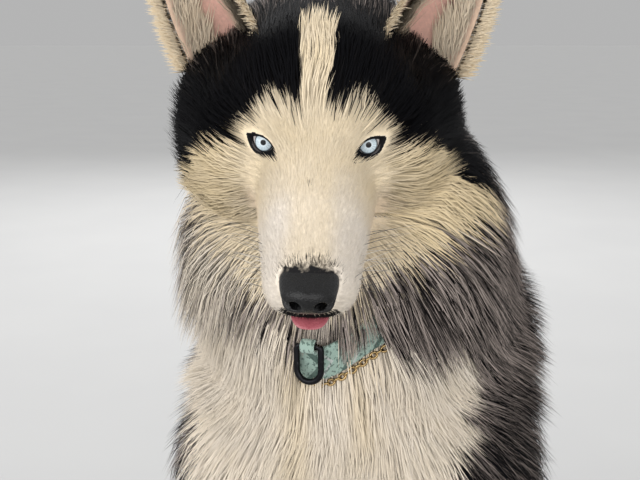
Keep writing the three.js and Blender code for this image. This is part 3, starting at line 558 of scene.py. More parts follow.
# Where the markings end, in the head's frame: how far out from the middle, and how high there.
CAP_SIDE = (8, 11, 15.5, 19, 25, 30, 35, 40, 45, 52, 62, 70, 85, 92, 100, 110)
CAP_HEIGHT = (38, 40, 44, 46, 45, 43, 36, 30, 25, 16, 9, 3, -19, -29, -37, -47)
# How far along the middle of the forehead, over the crown, and half as wide as the blaze is there.
BLAZE_ALONG = (36, 42, 55, 65, 80, 90, 97, 102)
BLAZE_HALF = (13, 9.5, 8.5, 10, 11.5, 12, 9, 0)
# Across the throat, and how high the white of the chest reaches there, in the dog's frame.
CHEST_ACROSS = (-110, -60, -20, 0, 28, 52, 66, 82, 94, 102)
CHEST_TOP = (520, 540, 526, 520, 519, 523, 526, 526, 528, 530)
FRECKLES = ((1, -138, -8), (4, -121, 1), (-2, -104, 6), (9, -131, -6), (-9, -127, -5))


def markings(points):
    """Four masks from 0 to 1 for points in the dog's frame: dark, warm, grizzled and bare."""
    x, y, z = into(HEAD, points).T
    side = np.abs(x)
    wobble = ripple(points, 26, 3)
    bx, by, bz = points.T
    middle = np.abs(bx - 2)

    # The cap comes down to the brows, and beside them behind the cheeks.
    cap_edge = np.interp(side, CAP_SIDE, CAP_HEIGHT) - 1.1 * np.maximum(y + 34, 0) * smooth(30, 60, side)
    cap = smooth(-2.5, 2.5, z - cap_edge + 1.2 * wobble)
    along = np.where(y < -46, z, 65 + (y + 46))
    half = np.interp(along, BLAZE_ALONG, BLAZE_HALF)
    blaze = smooth(-1.6, 1.6, half + 0.8 * wobble - side) * (along < 102)
    head_dark = cap * (1 - blaze)

    # Under the cheeks a dark band crosses the throat. Below it the chest is white out to the shoulders.
    cheek_foot = -112 + 34 * smooth(15, 100, x) - 9 * smooth(-15, -60, x) + 3 * wobble
    face = smooth(-5, 5, z - cheek_foot) * smooth(34, 10, y - 0.25 * (side - 60))
    front = smooth(-96, -136, by + 4 * wobble)
    chest_top = np.interp(bx, CHEST_ACROSS, CHEST_TOP) + 5 * wobble
    half_chest = np.where(bx > 2, 101, 124)
    chest = front * smooth(5, -5, middle + 4 * wobble - half_chest) * smooth(6, -6, bz - chest_top)
    band = 0.62 + 0.3 * smooth(10, 70, bx) - 0.3 * smooth(-52, -80, bx) + 0.22 * smooth(-100, -125, bx)
    shoulder = smooth(470, 510, bz)
    outer = np.where(bx > 2, middle, middle - 50)
    throat = smooth(-180, -225, by - 60 * (bx < 2)) * shoulder * smooth(108, 84, outer) * (1 - chest)
    side_dark = np.clip(1 - chest, 0, 1) * np.where(throat > 0, 1 - throat * (1 - band), 1)

    # The legs and the belly are pale, the haunches dark down to the hock.
    foreleg = smooth(-70, -92, by) * smooth(345, 285, bz + 0.9 * (95 - middle) * (middle < 95))
    haunch = smooth(30, 52, middle) * smooth(-60, -30, by)
    haunch_foot = 142 - 0.42 * by + 8 * wobble
    haunch_dark = haunch * smooth(-16, 16, bz - haunch_foot)
    belly = smooth(250, 190, bz + 0.5 * (by + 20)) * smooth(150, 90, by)
    low = np.where(haunch > 0.5, 1 - haunch_dark, np.maximum(foreleg, belly))
    tail = smooth(240, 262, by + 0.35 * np.abs(bx)) * smooth(130, 104, bz)
    tail_dark = smooth(-4, 16, bz - 50 + 5 * wobble)
    body_dark = side_dark * (1 - low * smooth(340, 290, bz))
    body_dark = body_dark * (1 - tail) + tail * tail_dark

    dark = face * head_dark + (1 - face) * np.maximum(body_dark, head_dark * smooth(-60, -30, z))
    # Fine dark specks over the muzzle's top by the nose, and a dark strip along the middle of the lip's edge
    # just under the nose.
    dark_by_nose = 0.7 * smooth(-134, -158, y) * smooth(-34, -22, z) * smooth(27, 13, side)
    dark_by_nose = np.maximum(dark_by_nose, 0.9 * smooth(-150, -156, y) * smooth(-40, -43, z) * smooth(20, 14, side))
    freckle = 0
    for fx, fy, fz in FRECKLES:
        freckle = freckle + 0.4 * np.exp(-(((x - fx) ** 2 + (y - fy) ** 2 + (z - fz) ** 2) / 5))
    dark = np.clip(np.maximum(dark, face * np.maximum(dark_by_nose, freckle)), 0, 1)

    cheek = smooth(46, 74, side) * smooth(-112, -60, z)
    muzzle = smooth(-84, -120, y)
    warm_face = 0.66 + 0.3 * cheek - 0.42 * muzzle * smooth(6, 20, side) - 0.2 * muzzle + 0.08 * wobble
    crease = np.exp(-(((bx - 36) / 9) ** 2)) * smooth(440, 470, bz) + np.exp(-(((bx + 10) / 11) ** 2))
    warm_body = 0.22 + 0.3 * crease * front + 0.1 * wobble + 0.25 * low
    warm = face * warm_face + (1 - face) * warm_body
    ruff = smooth(-95, -150, by) * smooth(470, 520, bz) * smooth(705, 640, bz)
    nape = 0.25 * smooth(600, 700, bz)
    grizzled = (1 - face) * (0.5 + 0.4 * np.maximum(throat, ruff) - nape + 0.15 * wobble - 0.25 * tail)
    grizzled = grizzled + face * (0.05 + 0.3 * smooth(-25, 35, y))
    corner = np.exp(-(((side - 44) / 9) ** 2 + ((y + 90) / 26) ** 2 + ((z + 44) / 16) ** 2))
    return np.clip(np.stack([dark, warm, grizzled, 0.4 * corner], 1), 0, 1)


# Meshes from arrays.
def mesh_piece(name, points, faces, material):
    """An object with its mesh in the model's frame, from points in the dog's."""
    mesh = bpy.data.meshes.new(name)
    faces = np.asarray(faces)
    mesh.vertices.add(len(points))
    mesh.vertices.foreach_set("co", place(points).astype(np.float32).ravel())
    mesh.loops.add(faces.size)
    mesh.loops.foreach_set("vertex_index", faces.astype(np.int32).ravel())
    mesh.polygons.add(len(faces))
    mesh.polygons.foreach_set("loop_start", np.arange(0, faces.size, faces.shape[1], dtype=np.int32))
    mesh.update(calc_edges=True)
    mesh.shade_smooth()
    mesh.materials.append(material)
    piece = bpy.data.objects.new(name, mesh)
    bpy.context.scene.collection.objects.link(piece)
    return piece


def add_masks(mesh, masks):
    layer = mesh.color_attributes.new("marks", "FLOAT_COLOR", "POINT")
    layer.data.foreach_set("color", masks.astype(np.float32).ravel())


def add_values(mesh, name, values):
    """A number or a vector for each point."""
    kind, field = ("FLOAT", "value") if values.ndim == 1 else ("FLOAT_VECTOR", "vector")
    layer = mesh.attributes.new(name, kind, "POINT")
    layer.data.foreach_set(field, values.astype(np.float32).ravel())


def add_uv(mesh, name, uv_of_points):
    loops = np.empty(len(mesh.loops), np.int32)
    mesh.loops.foreach_get("vertex_index", loops)
    layer = mesh.uv_layers.new(name=name)
    layer.data.foreach_set("uv", uv_of_points[loops].astype(np.float32).ravel())


def finished(piece, slot, *nodes):
    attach(piece, "root")
    if nodes:
        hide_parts(*nodes)
    return piece


# Materials.
def new_material(name, **sockets):
    """A material, the words for its node tree, and its shader."""
    material = bpy.data.materials.new(name)
    material.use_nodes = True
    shader = material.node_tree.nodes["Principled BSDF"]
    for socket, value in sockets.items():
        shader.inputs[socket.replace("_", " ")].default_value = value
    return material, Nodes(material.node_tree), shader.inputs


class Nodes:
    """Short words for building a node tree."""

    def __init__(self, tree):
        self.tree = tree

    def add(self, kind, inputs=(), **settings):
        node = self.tree.nodes.new(kind)
        for name, value in settings.items():
            setattr(node, name, value)
        for socket, value in dict(inputs).items():
            target = node.inputs[socket]
            if isinstance(value, bpy.types.NodeSocket):
                self.tree.links.new(value, target)
            else:
                target.default_value = value
        return node

    def link(self, value, target):
        self.tree.links.new(value, target)

    def where(self):
        """The place in the model."""
        return self.add("ShaderNodeTexCoord").outputs["Object"]

    def attribute(self, name):
        return self.add("ShaderNodeAttribute", attribute_name=name, attribute_type="GEOMETRY").outputs

    def apart(self, vector):
        return self.add("ShaderNodeSeparateXYZ", {0: vector}).outputs

    def joined(self, x, y, z=0.0):
        return self.add("ShaderNodeCombineXYZ", {0: x, 1: y, 2: z}).outputs[0]

    def uv(self, name):
        return self.apart(self.add("ShaderNodeUVMap", uv_map=name).outputs[0])

    def group(self, tree, inputs):
        return self.add("ShaderNodeGroup", inputs, node_tree=tree).outputs

    def math(self, operation, a, b=0.0):
        return self.add("ShaderNodeMath", {0: a, 1: b}, operation=operation).outputs[0]

    def mix(self, share, a, b, **settings):
        inputs = {0: share, 6: a, 7: b}
        return self.add("ShaderNodeMix", inputs, data_type="RGBA", clamp_factor=True, **settings).outputs[2]

    def tinted(self, colour, shade):
        return self.mix(1.0, colour, shade, blend_type="MULTIPLY")

    def ramp(self, value, low, high, to_low=0.0, to_high=1.0):
        inputs = {0: value, 1: low, 2: high, 3: to_low, 4: to_high}
        return self.add("ShaderNodeMapRange", inputs, interpolation_type="SMOOTHSTEP").outputs[0]

    def noise(self, vector, scale, detail=2.0, roughness=0.5):
        inputs = {"Vector": vector, "Scale": scale, "Detail": detail, "Roughness": roughness}
        return self.add("ShaderNodeTexNoise", inputs).outputs[0]

    def cells(self, vector, scale):
        return self.add("ShaderNodeTexVoronoi", {"Vector": vector, "Scale": scale}).outputs["Distance"]

    def stretched(self, vector, scale):
        return self.add("ShaderNodeMapping", {0: vector, 3: scale}).outputs[0]

    def bump(self, height, strength, distance):
        inputs = {"Height": height, "Strength": strength, "Distance": distance}
        return self.add("ShaderNodeBump", inputs).outputs[0]


def rgba(colour):
    return (*colour, 1.0)


def grey(tone):
    return (tone, tone, tone, 1.0)


def group_tree(name, inputs, outputs):
    """A shader node group, whose inputs are colours and numbers."""
    tree = bpy.data.node_groups.new(name, "ShaderNodeTree")
    for label, value in inputs.items():
        kind = "NodeSocketColor" if isinstance(value, tuple) else "NodeSocketFloat"
        tree.interface.new_socket(label, in_out="INPUT", socket_type=kind).default_value = value
    for label, kind in outputs.items():
        tree.interface.new_socket(label, in_out="OUTPUT", socket_type=kind)
    source, sink = tree.nodes.new("NodeGroupInput"), tree.nodes.new("NodeGroupOutput")
    return tree, Nodes(tree), source.outputs, sink.inputs


def pelt_group():
    """The pelt's colour from the four masks, a number for each tuft and the place along it."""
    name = "pelt_colour"
    if name in bpy.data.node_groups:
        return bpy.data.node_groups[name]
    hair = ("Black", "Silver", "Cream", "White", "Pink")
    inputs = {label: rgba(getattr(colours(), label.lower())) for label in hair} | {"Tuft": 0.5, "Along": 0.5}
    tree, n, given, out = group_tree(name, inputs, {"Color": "NodeSocketColor"})
    marks = n.attribute("marks")
    dark, warm, grizzled = n.add("ShaderNodeSeparateColor", {0: marks["Color"]}).outputs
    tuft, along = given["Tuft"], given["Along"]
    off_middle = n.math("SUBTRACT", tuft, 0.5)
    light = n.mix(n.math("ADD", warm, n.math("MULTIPLY", off_middle, 0.12)), given["White"], given["Cream"])
    # A dark hair is pale at its root. In the grizzled places the tufts run from black to silver.
    pale_root = n.math("MULTIPLY", n.ramp(along, 0.5, 0.0), n.math("MULTIPLY", grizzled, 0.7))
    other = n.math("FRACT", n.math("MULTIPLY", tuft, 7.3))
    silver_tuft = n.ramp(n.math("ADD", other, grizzled), 1.0, 1.75)
    deep = n.mix(n.math("MAXIMUM", pale_root, silver_tuft), given["Black"], given["Silver"])
    # Where dark and pale meet, each tuft is mostly the one or the other.
    split_by = n.ramp(n.math("ADD", dark, n.math("MULTIPLY", off_middle, 0.6)), 0.34, 0.66)
    n.link(n.mix(marks["Alpha"], n.mix(split_by, light, deep), given["Pink"]), out["Color"])
    return tree


def coat_material():
    """The tufts: strands run along each one, and no two tufts have the same."""
    if "pelt" in bpy.data.materials:
        return bpy.data.materials["pelt"]
    material, n, shader = new_material("pelt", Roughness=0.62, Specular_IOR_Level=0.05)
    across, along, _ = n.uv("hair")
    tuft = n.attribute("tuft")["Fac"]
    spread = n.math("ADD", n.math("MULTIPLY", across, 5.0), n.math("MULTIPLY", tuft, 97.0))
    strand = n.noise(n.joined(spread, n.math("MULTIPLY", along, 0.7)), 1.6, detail=3.0)
    pelt = n.group(pelt_group(), {"Tuft": tuft, "Along": along})["Color"]
    n.link(n.tinted(pelt, n.ramp(strand, 0.3, 0.7, 0.93, 1.05)), shader["Base Color"])
    n.link(n.bump(strand, 0.2, 0.0008), shader["Normal"])
    return material


def wool_material():
    """The wool next to the skin: the same markings, with a fine flow of short hair. Its colour is raised
    above the tufts', as painted light in the shade that falls between them.
    """
    material, n, shader = new_material("wool", Roughness=0.75, Specular_IOR_Level=0.2)
    where = n.where()
    hair = n.noise(n.stretched(where, (1.0, 0.35, 0.6)), 520.0, detail=4.0, roughness=0.65)
    pelt = n.group(pelt_group(), {"Tuft": n.noise(where, 260.0), "Along": 0.35})["Color"]
    # Painted light: the wool is tinted lighter than the tufts to lift the shade between them.
    n.link(n.tinted(pelt, n.ramp(hair, 0.3, 0.7, 0.96, 1.12)), shader["Base Color"])
    n.link(n.bump(hair, 0.5, 0.001), shader["Normal"])
    return material


# The coat's tufts.
SECTION = ((-1.0, -0.3), (0.0, 0.6), (1.0, -0.3))


def flat_on(vectors, normals):
    return unit(vectors - (vectors * normals).sum(-1, keepdims=True) * normals)


LENGTH_SPREAD = (0.78, 1.15)  # how much tufts differ in length, in how high their tips stand, and in width
HEIGHT_SPREAD = (0.7, 1.1)
WIDTH_SPREAD = (0.7, 1.3)


def grown_lines(grid, roots, rng, length, lift, start, style, over=None):
    """The lines that tufts follow from their roots: places, outward directions and the directions across."""
    count = len(roots)
    length = length * rng.uniform(*LENGTH_SPREAD, count)
    share = np.clip(rng.uniform(*HEIGHT_SPREAD, count) + 0.08 * ripple(roots, 38, 5), 0.5, 1.14)
    turn = style.wander * rng.normal(size=count) + style.sweep * ripple(roots, 34, 9)
    p, before, lines = roots.copy(), None, []
    for station in range(style.stations + 1):
        t = station / style.stations
        height, normal, _, lie = grid.at(p)
        wanted = start + (lift * share - start) * t**style.bend
        if over is not None:
            wanted = over(p, wanted, t)
        p = p + normal * np.clip(wanted - height, -0.7 * length, 0.7 * length)[:, None]
        p[:, 2] = np.maximum(p[:, 2], GROUND + GROUND * share)
        along = flat_on(lie, normal)
        if before is not None:
            along = flat_on(0.5 * along + 0.5 * before, normal)
        side = np.cross(along, normal)
        veer = turn * (0.4 + 0.9 * t)
        along = along * np.cos(veer)[:, None] + side * np.sin(veer)[:, None]
        before = along
        lines.append((p.copy(), normal, np.cross(along, normal)))
        p = p + along * (length / style.stations)[:, None]
    return [np.array(part) for part in zip(*lines)]


PLUMP = 0.5  # how thick a tuft is for its width, and how round it is shaded
ROUND_SHADE = 0.12


def tuft_piece(name, lines, width, look, atlas, rng, loose=0):
    """One mesh of tufts along lines of places, outward directions and directions across.

    A tuft is widest at the last place but one. Its root is a point when there is a place before that.
    A tuft of a coat is shaded as the skin below it, a loose one as a hair of its own.
    """
    centre, out, across = lines
    broadest, count = len(centre) - 2, centre.shape[1]
    half = (width * rng.uniform(*WIDTH_SPREAD, count) / 2)[:, None]
    tufts = rng.uniform(0, 1, count)
    corners, normals, hair_uv, faces = [], [], [], [(2, 1, 0)]
    loose = np.broadcast_to(loose, count)[:, None]
    for a, o in SECTION:
        corners.append(centre[broadest] + half * (a * across[broadest] + o * PLUMP * out[broadest]))
        flat = out[broadest] + across[broadest] * a * ROUND_SHADE
        normals.append(flat + loose * (across[broadest] * a + out[broadest] * (2 * o - 1) - flat))
        hair_uv.append((0.5 + a / 2, broadest / (broadest + 1)))
    corners.append(centre[-1])
    normals.append(out[-1] + loose * (unit(centre[-1] - centre[broadest]) - out[-1]))
    hair_uv.append((0.5, 1.0))
    faces += [(c, (c + 1) % 3, 3) for c in range(3)]
    if broadest:
        corners.append(centre[0])
        normals.append(out[0])
        hair_uv.append((0.5, 0.0))
        faces = faces[1:] + [((c + 1) % 3, c, 4) for c in range(3)]
    each = len(corners)
    index = (np.arange(count)[:, None, None] * each + np.array(faces)).reshape(-1, 3)
    piece = mesh_piece(name, np.stack(corners, 1).reshape(-1, 3), index, coat_material())
    mesh = piece.data
    add_masks(mesh, np.repeat(look, each, axis=0))
    add_values(mesh, "tuft", np.repeat(tufts, each))
    hair_uv = np.array(hair_uv)
    patch = np.tile((hair_uv - 0.5) * PATCH, (count, 1))
    add_uv(mesh, "OFBake", np.repeat(np.clip(atlas, PATCH, 1 - PATCH), each, axis=0) + patch)
    add_uv(mesh, "hair", np.tile(hair_uv, (count, 1)))
    mesh.normals_split_custom_set_from_vertices(unit(np.stack(normals, 1).reshape(-1, 3)))
    return piece


CLUMP_REACH = (40, 15)  # how far off a leading tuft no longer draws others, and within which it fully does


def clumped(places, rng, pull, each):
    """Draws the tips of the tufts round each leading tuft together."""
    count = places.shape[1]
    leaders = rng.choice(count, max(1, count // each), replace=False)
    tree = KDTree(len(leaders))
    for i, leader in enumerate(leaders):
        tree.insert(places[0, leader], i)
    tree.balance()
    nearest = leaders[[tree.find(root)[1] for root in places[0]]]
    strength = pull * rng.uniform(0.4, 1.0, (count, 1))
    gap = places[:, nearest] - places
    far = np.linalg.norm(gap[0], axis=1, keepdims=True)
    strength = strength * smooth(*CLUMP_REACH, far)
    for s in range(1, len(places)):
        share = strength * (s / (len(places) - 1)) ** 1.6
        places[s] += gap[s] * share
    return places


def scattered(points, faces, weight, count, rng):
    """Random places on quads, by area and by the weight at each corner."""
    a, b, c, d = (points[faces[:, i]] for i in range(4))
    area = 0.5 * np.linalg.norm(np.cross(c - a, d - b), axis=1)
    share = np.cumsum(area * weight[faces].mean(1))
    picks = np.searchsorted(share, (np.arange(count) + rng.uniform(0, 1, count)) / count * share[-1])
    f = faces[np.minimum(picks, len(faces) - 1)]
    u, v = rng.uniform(0, 1, (2, count, 1))
    near = (1 - u) * (1 - v) * points[f[:, 0]] + u * (1 - v) * points[f[:, 1]]
    return near + u * v * points[f[:, 2]] + (1 - u) * v * points[f[:, 3]]


def walked(path):
    """How far along a path each of its places lies."""
    return np.concatenate([[0], np.cumsum(np.linalg.norm(np.diff(path, axis=0), axis=1))])


def round_spine(points, spine):
    """How far along a spine and which way round it points lie, both from 0 to 1."""
    spine = np.array(spine, float)
    marks = walked(spine) / walked(spine)[-1]
    best, u, angle = np.full(len(points), np.inf), np.zeros(len(points)), np.zeros(len(points))
    for i, (a, b) in enumerate(zip(spine, spine[1:])):
        run = b - a
        t = (points - a) @ run / (run @ run)
        inner = np.clip(t, 0, 1)
        gap = np.linalg.norm(points - a - inner[:, None] * run, axis=1)
        axis = run / np.linalg.norm(run)
        first = np.cross(axis, (1, 0, 0) if abs(axis[0]) < 0.7 else (0, 0, 1))
        first /= np.linalg.norm(first)
        second = np.cross(axis, first)
        q = points - a
        closer = gap < best
        best[closer] = gap[closer]
        u[closer] = (marks[i] + (marks[i + 1] - marks[i]) * t)[closer]
        angle[closer] = np.arctan2(q @ second, q @ first)[closer] / (2 * math.pi) + 0.5
    return np.stack([0.02 + 0.96 * angle, np.clip(0.15 + 0.7 * u, 0.02, 0.98)], 1)


SPINES = {
    "face": out_of(HEAD, [(0, -160, -34), (0, -90, -20), (0, 60, -10)]),
    "ruff": out_of(HEAD, [(0, -160, -34), (0, -60, -20), (0, 60, -10)]),
    "neck": [(0, -110, 440), (0, -164, 590), (0, -190, 690)],
    "torso": [(0, -130, 470), (0, 20, 330), (0, 120, 215), (0, 200, 110)],
    "thigh": [(84, 190, 120), (84, 90, 160), (96, 0, 200)],
    "foreleg": [(76, -116, 320), (70, -156, 170), (66, -172, 50)],
    "forepaw": [(66, -172, 24), (66, -236, 12)],
    "hindleg": [(98, 170, 40), (106, 74, 22), (110, 0, 22)],
    "hindpaw": [(112, -4, 22), (112, -72, 12)],
    "tail": TAIL_PATH,
}


class Dog:
    """What the operators share: the skin's points and faces, and the sampled field."""

    skin = None
    faces = None
    part = None
    grid = None
    head_grid = None


def make_field():
    lows, highs = zip(*(part.reach() for part in PARTS.values()))
    low, high = np.min(lows, 0), np.max(highs, 0)
    low[2] = -40
    Dog.grid = Grid(low, high, BODY_CELL)
    head_low, head_high = PARTS["head"].reach()
    Dog.head_grid = Grid(head_low - 20, head_high + 10, HEAD_CELL)


def subdivided(points, faces, chosen):
    """Splits the chosen quads into four. Their neighbours take the new edge points."""
    mesh = bpy.data.meshes.new("skin_work")
    sides = [quad[:3] if quad[2] == quad[3] else quad for quad in faces.tolist()]
    mesh.from_pydata(points.tolist(), [], sides)
    shape = bmesh.new()
    shape.from_mesh(mesh)
    shape.faces.ensure_lookup_table()
    edges = {edge for i in np.flatnonzero(chosen) for edge in shape.faces[i].edges}
    bmesh.ops.subdivide_edges(shape, edges=list(edges), cuts=1, use_grid_fill=True)
    bmesh.ops.triangulate(shape, faces=[face for face in shape.faces if len(face.verts) > 4])
    shape.to_mesh(mesh)
    shape.free()
    made = np.array([v.co[:] for v in mesh.vertices])
    quads = np.array([[*f.vertices, f.vertices[-1]][:4] for f in mesh.polygons])
    bpy.data.meshes.remove(mesh)
    return made, quads


def make_skin():
    """Nets the whole skin, finer on the head and finest round the eyes, and opens the eyes and the mouth."""
    grid = Dog.grid
    level = (grid.height.ravel() - skin_level(grid.table[:, 4])).reshape(grid.shape)
    points, faces = netted(level, grid.low, grid.cell)

    def on_head(reach_back):
        x, y, z = into(HEAD, points).T
        return (y < reach_back) & (np.abs(z) < 84) & (np.abs(x) < 96)

    def by_eyes(reach):
        gaps = [np.linalg.norm(points - eye_frame(side)[:3, 3], axis=1) for side in (1, -1)]
        return np.minimum(*gaps) < reach

    for near in (lambda: on_head(30), lambda: on_head(-20), lambda: by_eyes(27)):
        points, faces = subdivided(points, faces, near()[faces].all(1))
        points = settled(points, skin_height, rounds=2)
    points[:, 2] = np.maximum(points[:, 2], SKIN_GROUND)
    Dog.part = whole_dog(points)[3]

    # The lips part on a line, and behind the lids the skin turns in round the eye.
    gap = mouth_gap(points)
    near = gap < 6
    dip = 2.6 * np.exp(-((gap[near] / 1.7) ** 2))
    points[near] -= slopes(points[near], skin_height) * dip[:, None]
    for side in (1, -1):
        u, v, _ = eye_plane(side, points)
        centre = eye_frame(side)[:3, 3]
        inside = in_almond(points) & (np.linalg.norm(points - centre, axis=1) < 30)
        edge = EYE_OPENING_HEIGHT / 2 * (1 - (u[inside] / (EYE_OPENING / 2)) ** 2) - np.abs(v[inside])
        away = points[inside] - centre
        reach = np.linalg.norm(away, axis=1)
        behind = smooth(0, 1.9, edge)
        reach = reach + (EYE_RADIUS - 2.5 - reach) * behind
        points[inside] = centre + unit(away) * reach[:, None]
    Dog.skin, Dog.faces = points, faces
    return points, faces


EAR_CURL = (math.radians(84), math.radians(42))  # at the foot and at the tip, as half the angle of its arc
EAR_LEVELS = 28
EAR_ACROSS = 22
SIDES = ((1, "left"), (-1, "right"))


def ear_point(height, across, inset):
    """Places on an ear's wall, in its frame, from how high and how far across they lie."""
    half_width = EAR_WIDTH / 2 * (1 - height) ** 0.66 * (0.9 + 0.5 * height) - inset
    curl = EAR_CURL[0] + (EAR_CURL[1] - EAR_CURL[0]) * height
    radius = np.maximum(half_width, 0.4) / np.sin(np.minimum(curl, math.radians(82)))
    depth = radius * np.cos(across * curl) - radius * np.cos(curl) - inset
    return np.stack([radius * np.sin(across * curl), depth, height * EAR_HEIGHT], -1)


def ear_sheets(side):
    """The back and the hollow of an ear, as grids of points in the dog's frame."""
    levels = np.linspace(-0.12, 0.992, EAR_LEVELS)
    across = np.linspace(1, -1, EAR_ACROSS)
    height, spread = np.meshgrid(levels, across, indexing="ij")
    low = np.maximum(height, 0)
    wall = EAR_WALL * (1 - 0.55 * low) * (1 - 0.75 * np.abs(spread) ** 4)
    back, hollow = ear_point(low, spread, EAR_INSET), ear_point(low, spread, EAR_INSET + wall)
    for sheet in (back, hollow):
        sheet[..., 2] += np.minimum(height, 0) * EAR_HEIGHT
        sheet[..., 0] *= side
    return [out_of(ear_frame(side), sheet.reshape(-1, 3)).reshape(sheet.shape) for sheet in (back, hollow)]


def ear_mesh(side):
    back, hollow = ear_sheets(side)
    points = np.concatenate([back.reshape(-1, 3), hollow.reshape(-1, 3)])
    count = EAR_LEVELS * EAR_ACROSS

    def at(sheet, level, spread):
        return sheet * count + level * EAR_ACROSS + spread

    faces = []
    for level in range(EAR_LEVELS - 1):
        for spread in range(EAR_ACROSS - 1):
            quad = [(level, spread), (level, spread + 1), (level + 1, spread + 1), (level + 1, spread)]
            faces.append([at(0, *q) for q in quad])
            faces.append([at(1, *q) for q in quad[::-1]])
        for spread in (0, EAR_ACROSS - 1):
            corners = (0, level), (0, level + 1), (1, level + 1), (1, level)
            rim = [at(sheet, height, spread) for sheet, height in corners]
            faces.append(rim if spread == 0 else rim[::-1])
    for spread in range(EAR_ACROSS - 1):
        for level, first in ((EAR_LEVELS - 1, 0), (0, 1)):
            edge = [(first, spread), (first, spread + 1), (1 - first, spread + 1), (1 - first, spread)]
            faces.append([at(sheet, level, across) for sheet, across in edge])
    faces = np.array(faces)
    return points, faces if side == 1 else faces[:, ::-1]


def ear_dark(spread):
    """How dark the back of an ear is, from its inner edge at -1 to its outer edge at 1."""
    return 0.95 * smooth(-0.95, -0.75, spread) * smooth(0.95, 0.6, spread)


def ear_marks(side, points):
    """The ear is dark behind, with a pink hollow."""
    local = into(ear_frame(side), points)
    local[:, 0] *= side
    height = np.clip(local[:, 2] / EAR_HEIGHT, 0, 1)
    middle = ear_point(height, np.zeros(len(points)), EAR_INSET + EAR_WALL / 2)[:, 1]
    half = np.maximum(ear_point(height, np.ones(len(points)), 0)[:, 0], 1)
    spread = np.clip(local[:, 0] / half, -1, 1)
    depth = middle * np.sqrt(1 - spread * spread * 0.98)
    behind = smooth(-1, 1, local[:, 1] - depth)
    dark = behind * ear_dark(spread)
    bare = (1 - behind) * (0.9 - 0.55 * spread * spread)
    return np.stack([dark, np.full(len(points), 0.7), np.full(len(points), 0.1), bare], 1)


class HuskySizes(bpy.types.PropertyGroup):
    coat_length: FloatProperty(
        name="Coat length", description="How long the tufts are, as a share", default=1.0, min=0.5,
        max=1.3,
    )
    coat_density: FloatProperty(
        name="Coat density", description="How many tufts grow, as a share", default=1.0, min=0.2,
        max=1.2,
    )
    iris_radius: FloatProperty(
        name="Iris radius", description="Radius of the iris", default=0.0059, subtype="DISTANCE",
        unit="LENGTH",
    )
    pupil_radius: FloatProperty(
        name="Pupil radius", description="Radius of the pupil", default=0.0018, subtype="DISTANCE",
        unit="LENGTH",
    )
    chain_links: IntProperty(
        name="Chain links", description="Number of links in the chain", default=146, min=20,
        max=200,
    )
    chain_wire: FloatProperty(
        name="Chain wire", description="Radius of the wire of a link", default=0.00085,
        subtype="DISTANCE", unit="LENGTH",
    )


class HuskyColours(bpy.types.PropertyGroup):
    black: FloatVectorProperty(
        name="Black", description="The dark hair", subtype="COLOR", default=(0.003, 0.003, 0.004),
    )
    silver: FloatVectorProperty(
        name="Silver", description="The grizzled hair", subtype="COLOR",
        default=(0.40, 0.335, 0.30),
    )
    cream: FloatVectorProperty(
        name="Cream", description="The warm pale hair", subtype="COLOR",
        default=(0.86, 0.69, 0.43),
    )
    white: FloatVectorProperty(
        name="White", description="The white hair", subtype="COLOR", default=(0.85, 0.765, 0.665),
    )
    pink: FloatVectorProperty(
        name="Pink", description="The bare skin in the ears", subtype="COLOR",
        default=(0.80, 0.45, 0.38),
    )
    iris: FloatVectorProperty(
        name="Iris", description="The ice-blue iris", subtype="COLOR", default=(0.70, 0.82, 0.88),
    )
    webbing: FloatVectorProperty(
        name="Webbing", description="The collar's mint ground", subtype="COLOR",
        default=(0.50, 0.70, 0.60),
    )
    brass: FloatVectorProperty(
        name="Chain", description="The chain's metal", subtype="COLOR", default=(0.46, 0.32, 0.15),
    )


def sizes():
    return bpy.context.scene.husky_sizes


def colours():
    return bpy.context.scene.husky_colours


def handed(*parts):
    return [f"{part}_{hand}" for part in parts for _, hand in SIDES]


FLESH_NODES = [
    *("head", "jaw", "neck", "torso"),
    *handed("ear", "thigh", "foreleg", "forepaw", "hindleg", "hindpaw"),
    *("tail_base", "tail_mid", "tail_tip"),
]


class HUSKY_OT_skin(bpy.types.Operator):
    """Makes the skin, whole from the nose to the tail, with both ears"""

    bl_idname = "husky.skin"
    bl_label = "Skin"

    def execute(self, context):
        make_field()
        points, faces = make_skin()
        masks = markings(points)
        lips = np.exp(-((mouth_gap(points) / 1.5) ** 2))[:, None]
        lips = np.maximum(lips, in_almond(points, 0.7)[:, None])
        masks = masks * (1 - lips) + lips * np.array([1.0, 0, 0, 0])
        sheets = [(points, faces, masks)]
        start = len(points)
        for side, _ in SIDES:
            ear, ear_faces = ear_mesh(side)
            sheets.append((ear, ear_faces + start, ear_marks(side, ear)))
            start += len(ear)
        points, faces, masks = (np.concatenate(part) for part in zip(*sheets))
        single = faces[:, 2] == faces[:, 3]
        triangles = np.concatenate([halved(faces[~single]), faces[single][:, :3]])
        skin = mesh_piece("skin", points, triangles, wool_material())
        add_masks(skin.data, masks)
        finished(skin, "body_fur", *FLESH_NODES)
        return {"FINISHED"}


def part_weight(*names):
    return np.isin(Dog.part, [i for i, name in enumerate(PART_NAMES) if name in names]).astype(float)


FULLER = 0.38


def fuller_side(roots):
    """How much longer the hair of the ruff is on the dog's right, where it is brushed out."""
    x, y, z = into(HEAD, roots).T
    return 1 + FULLER * smooth(-40, -75, x) * smooth(-85, -55, y) * smooth(-140, -105, z)


Style = namedtuple("Style", "length by_coat lift width by_depth stations wander sweep bend clump")
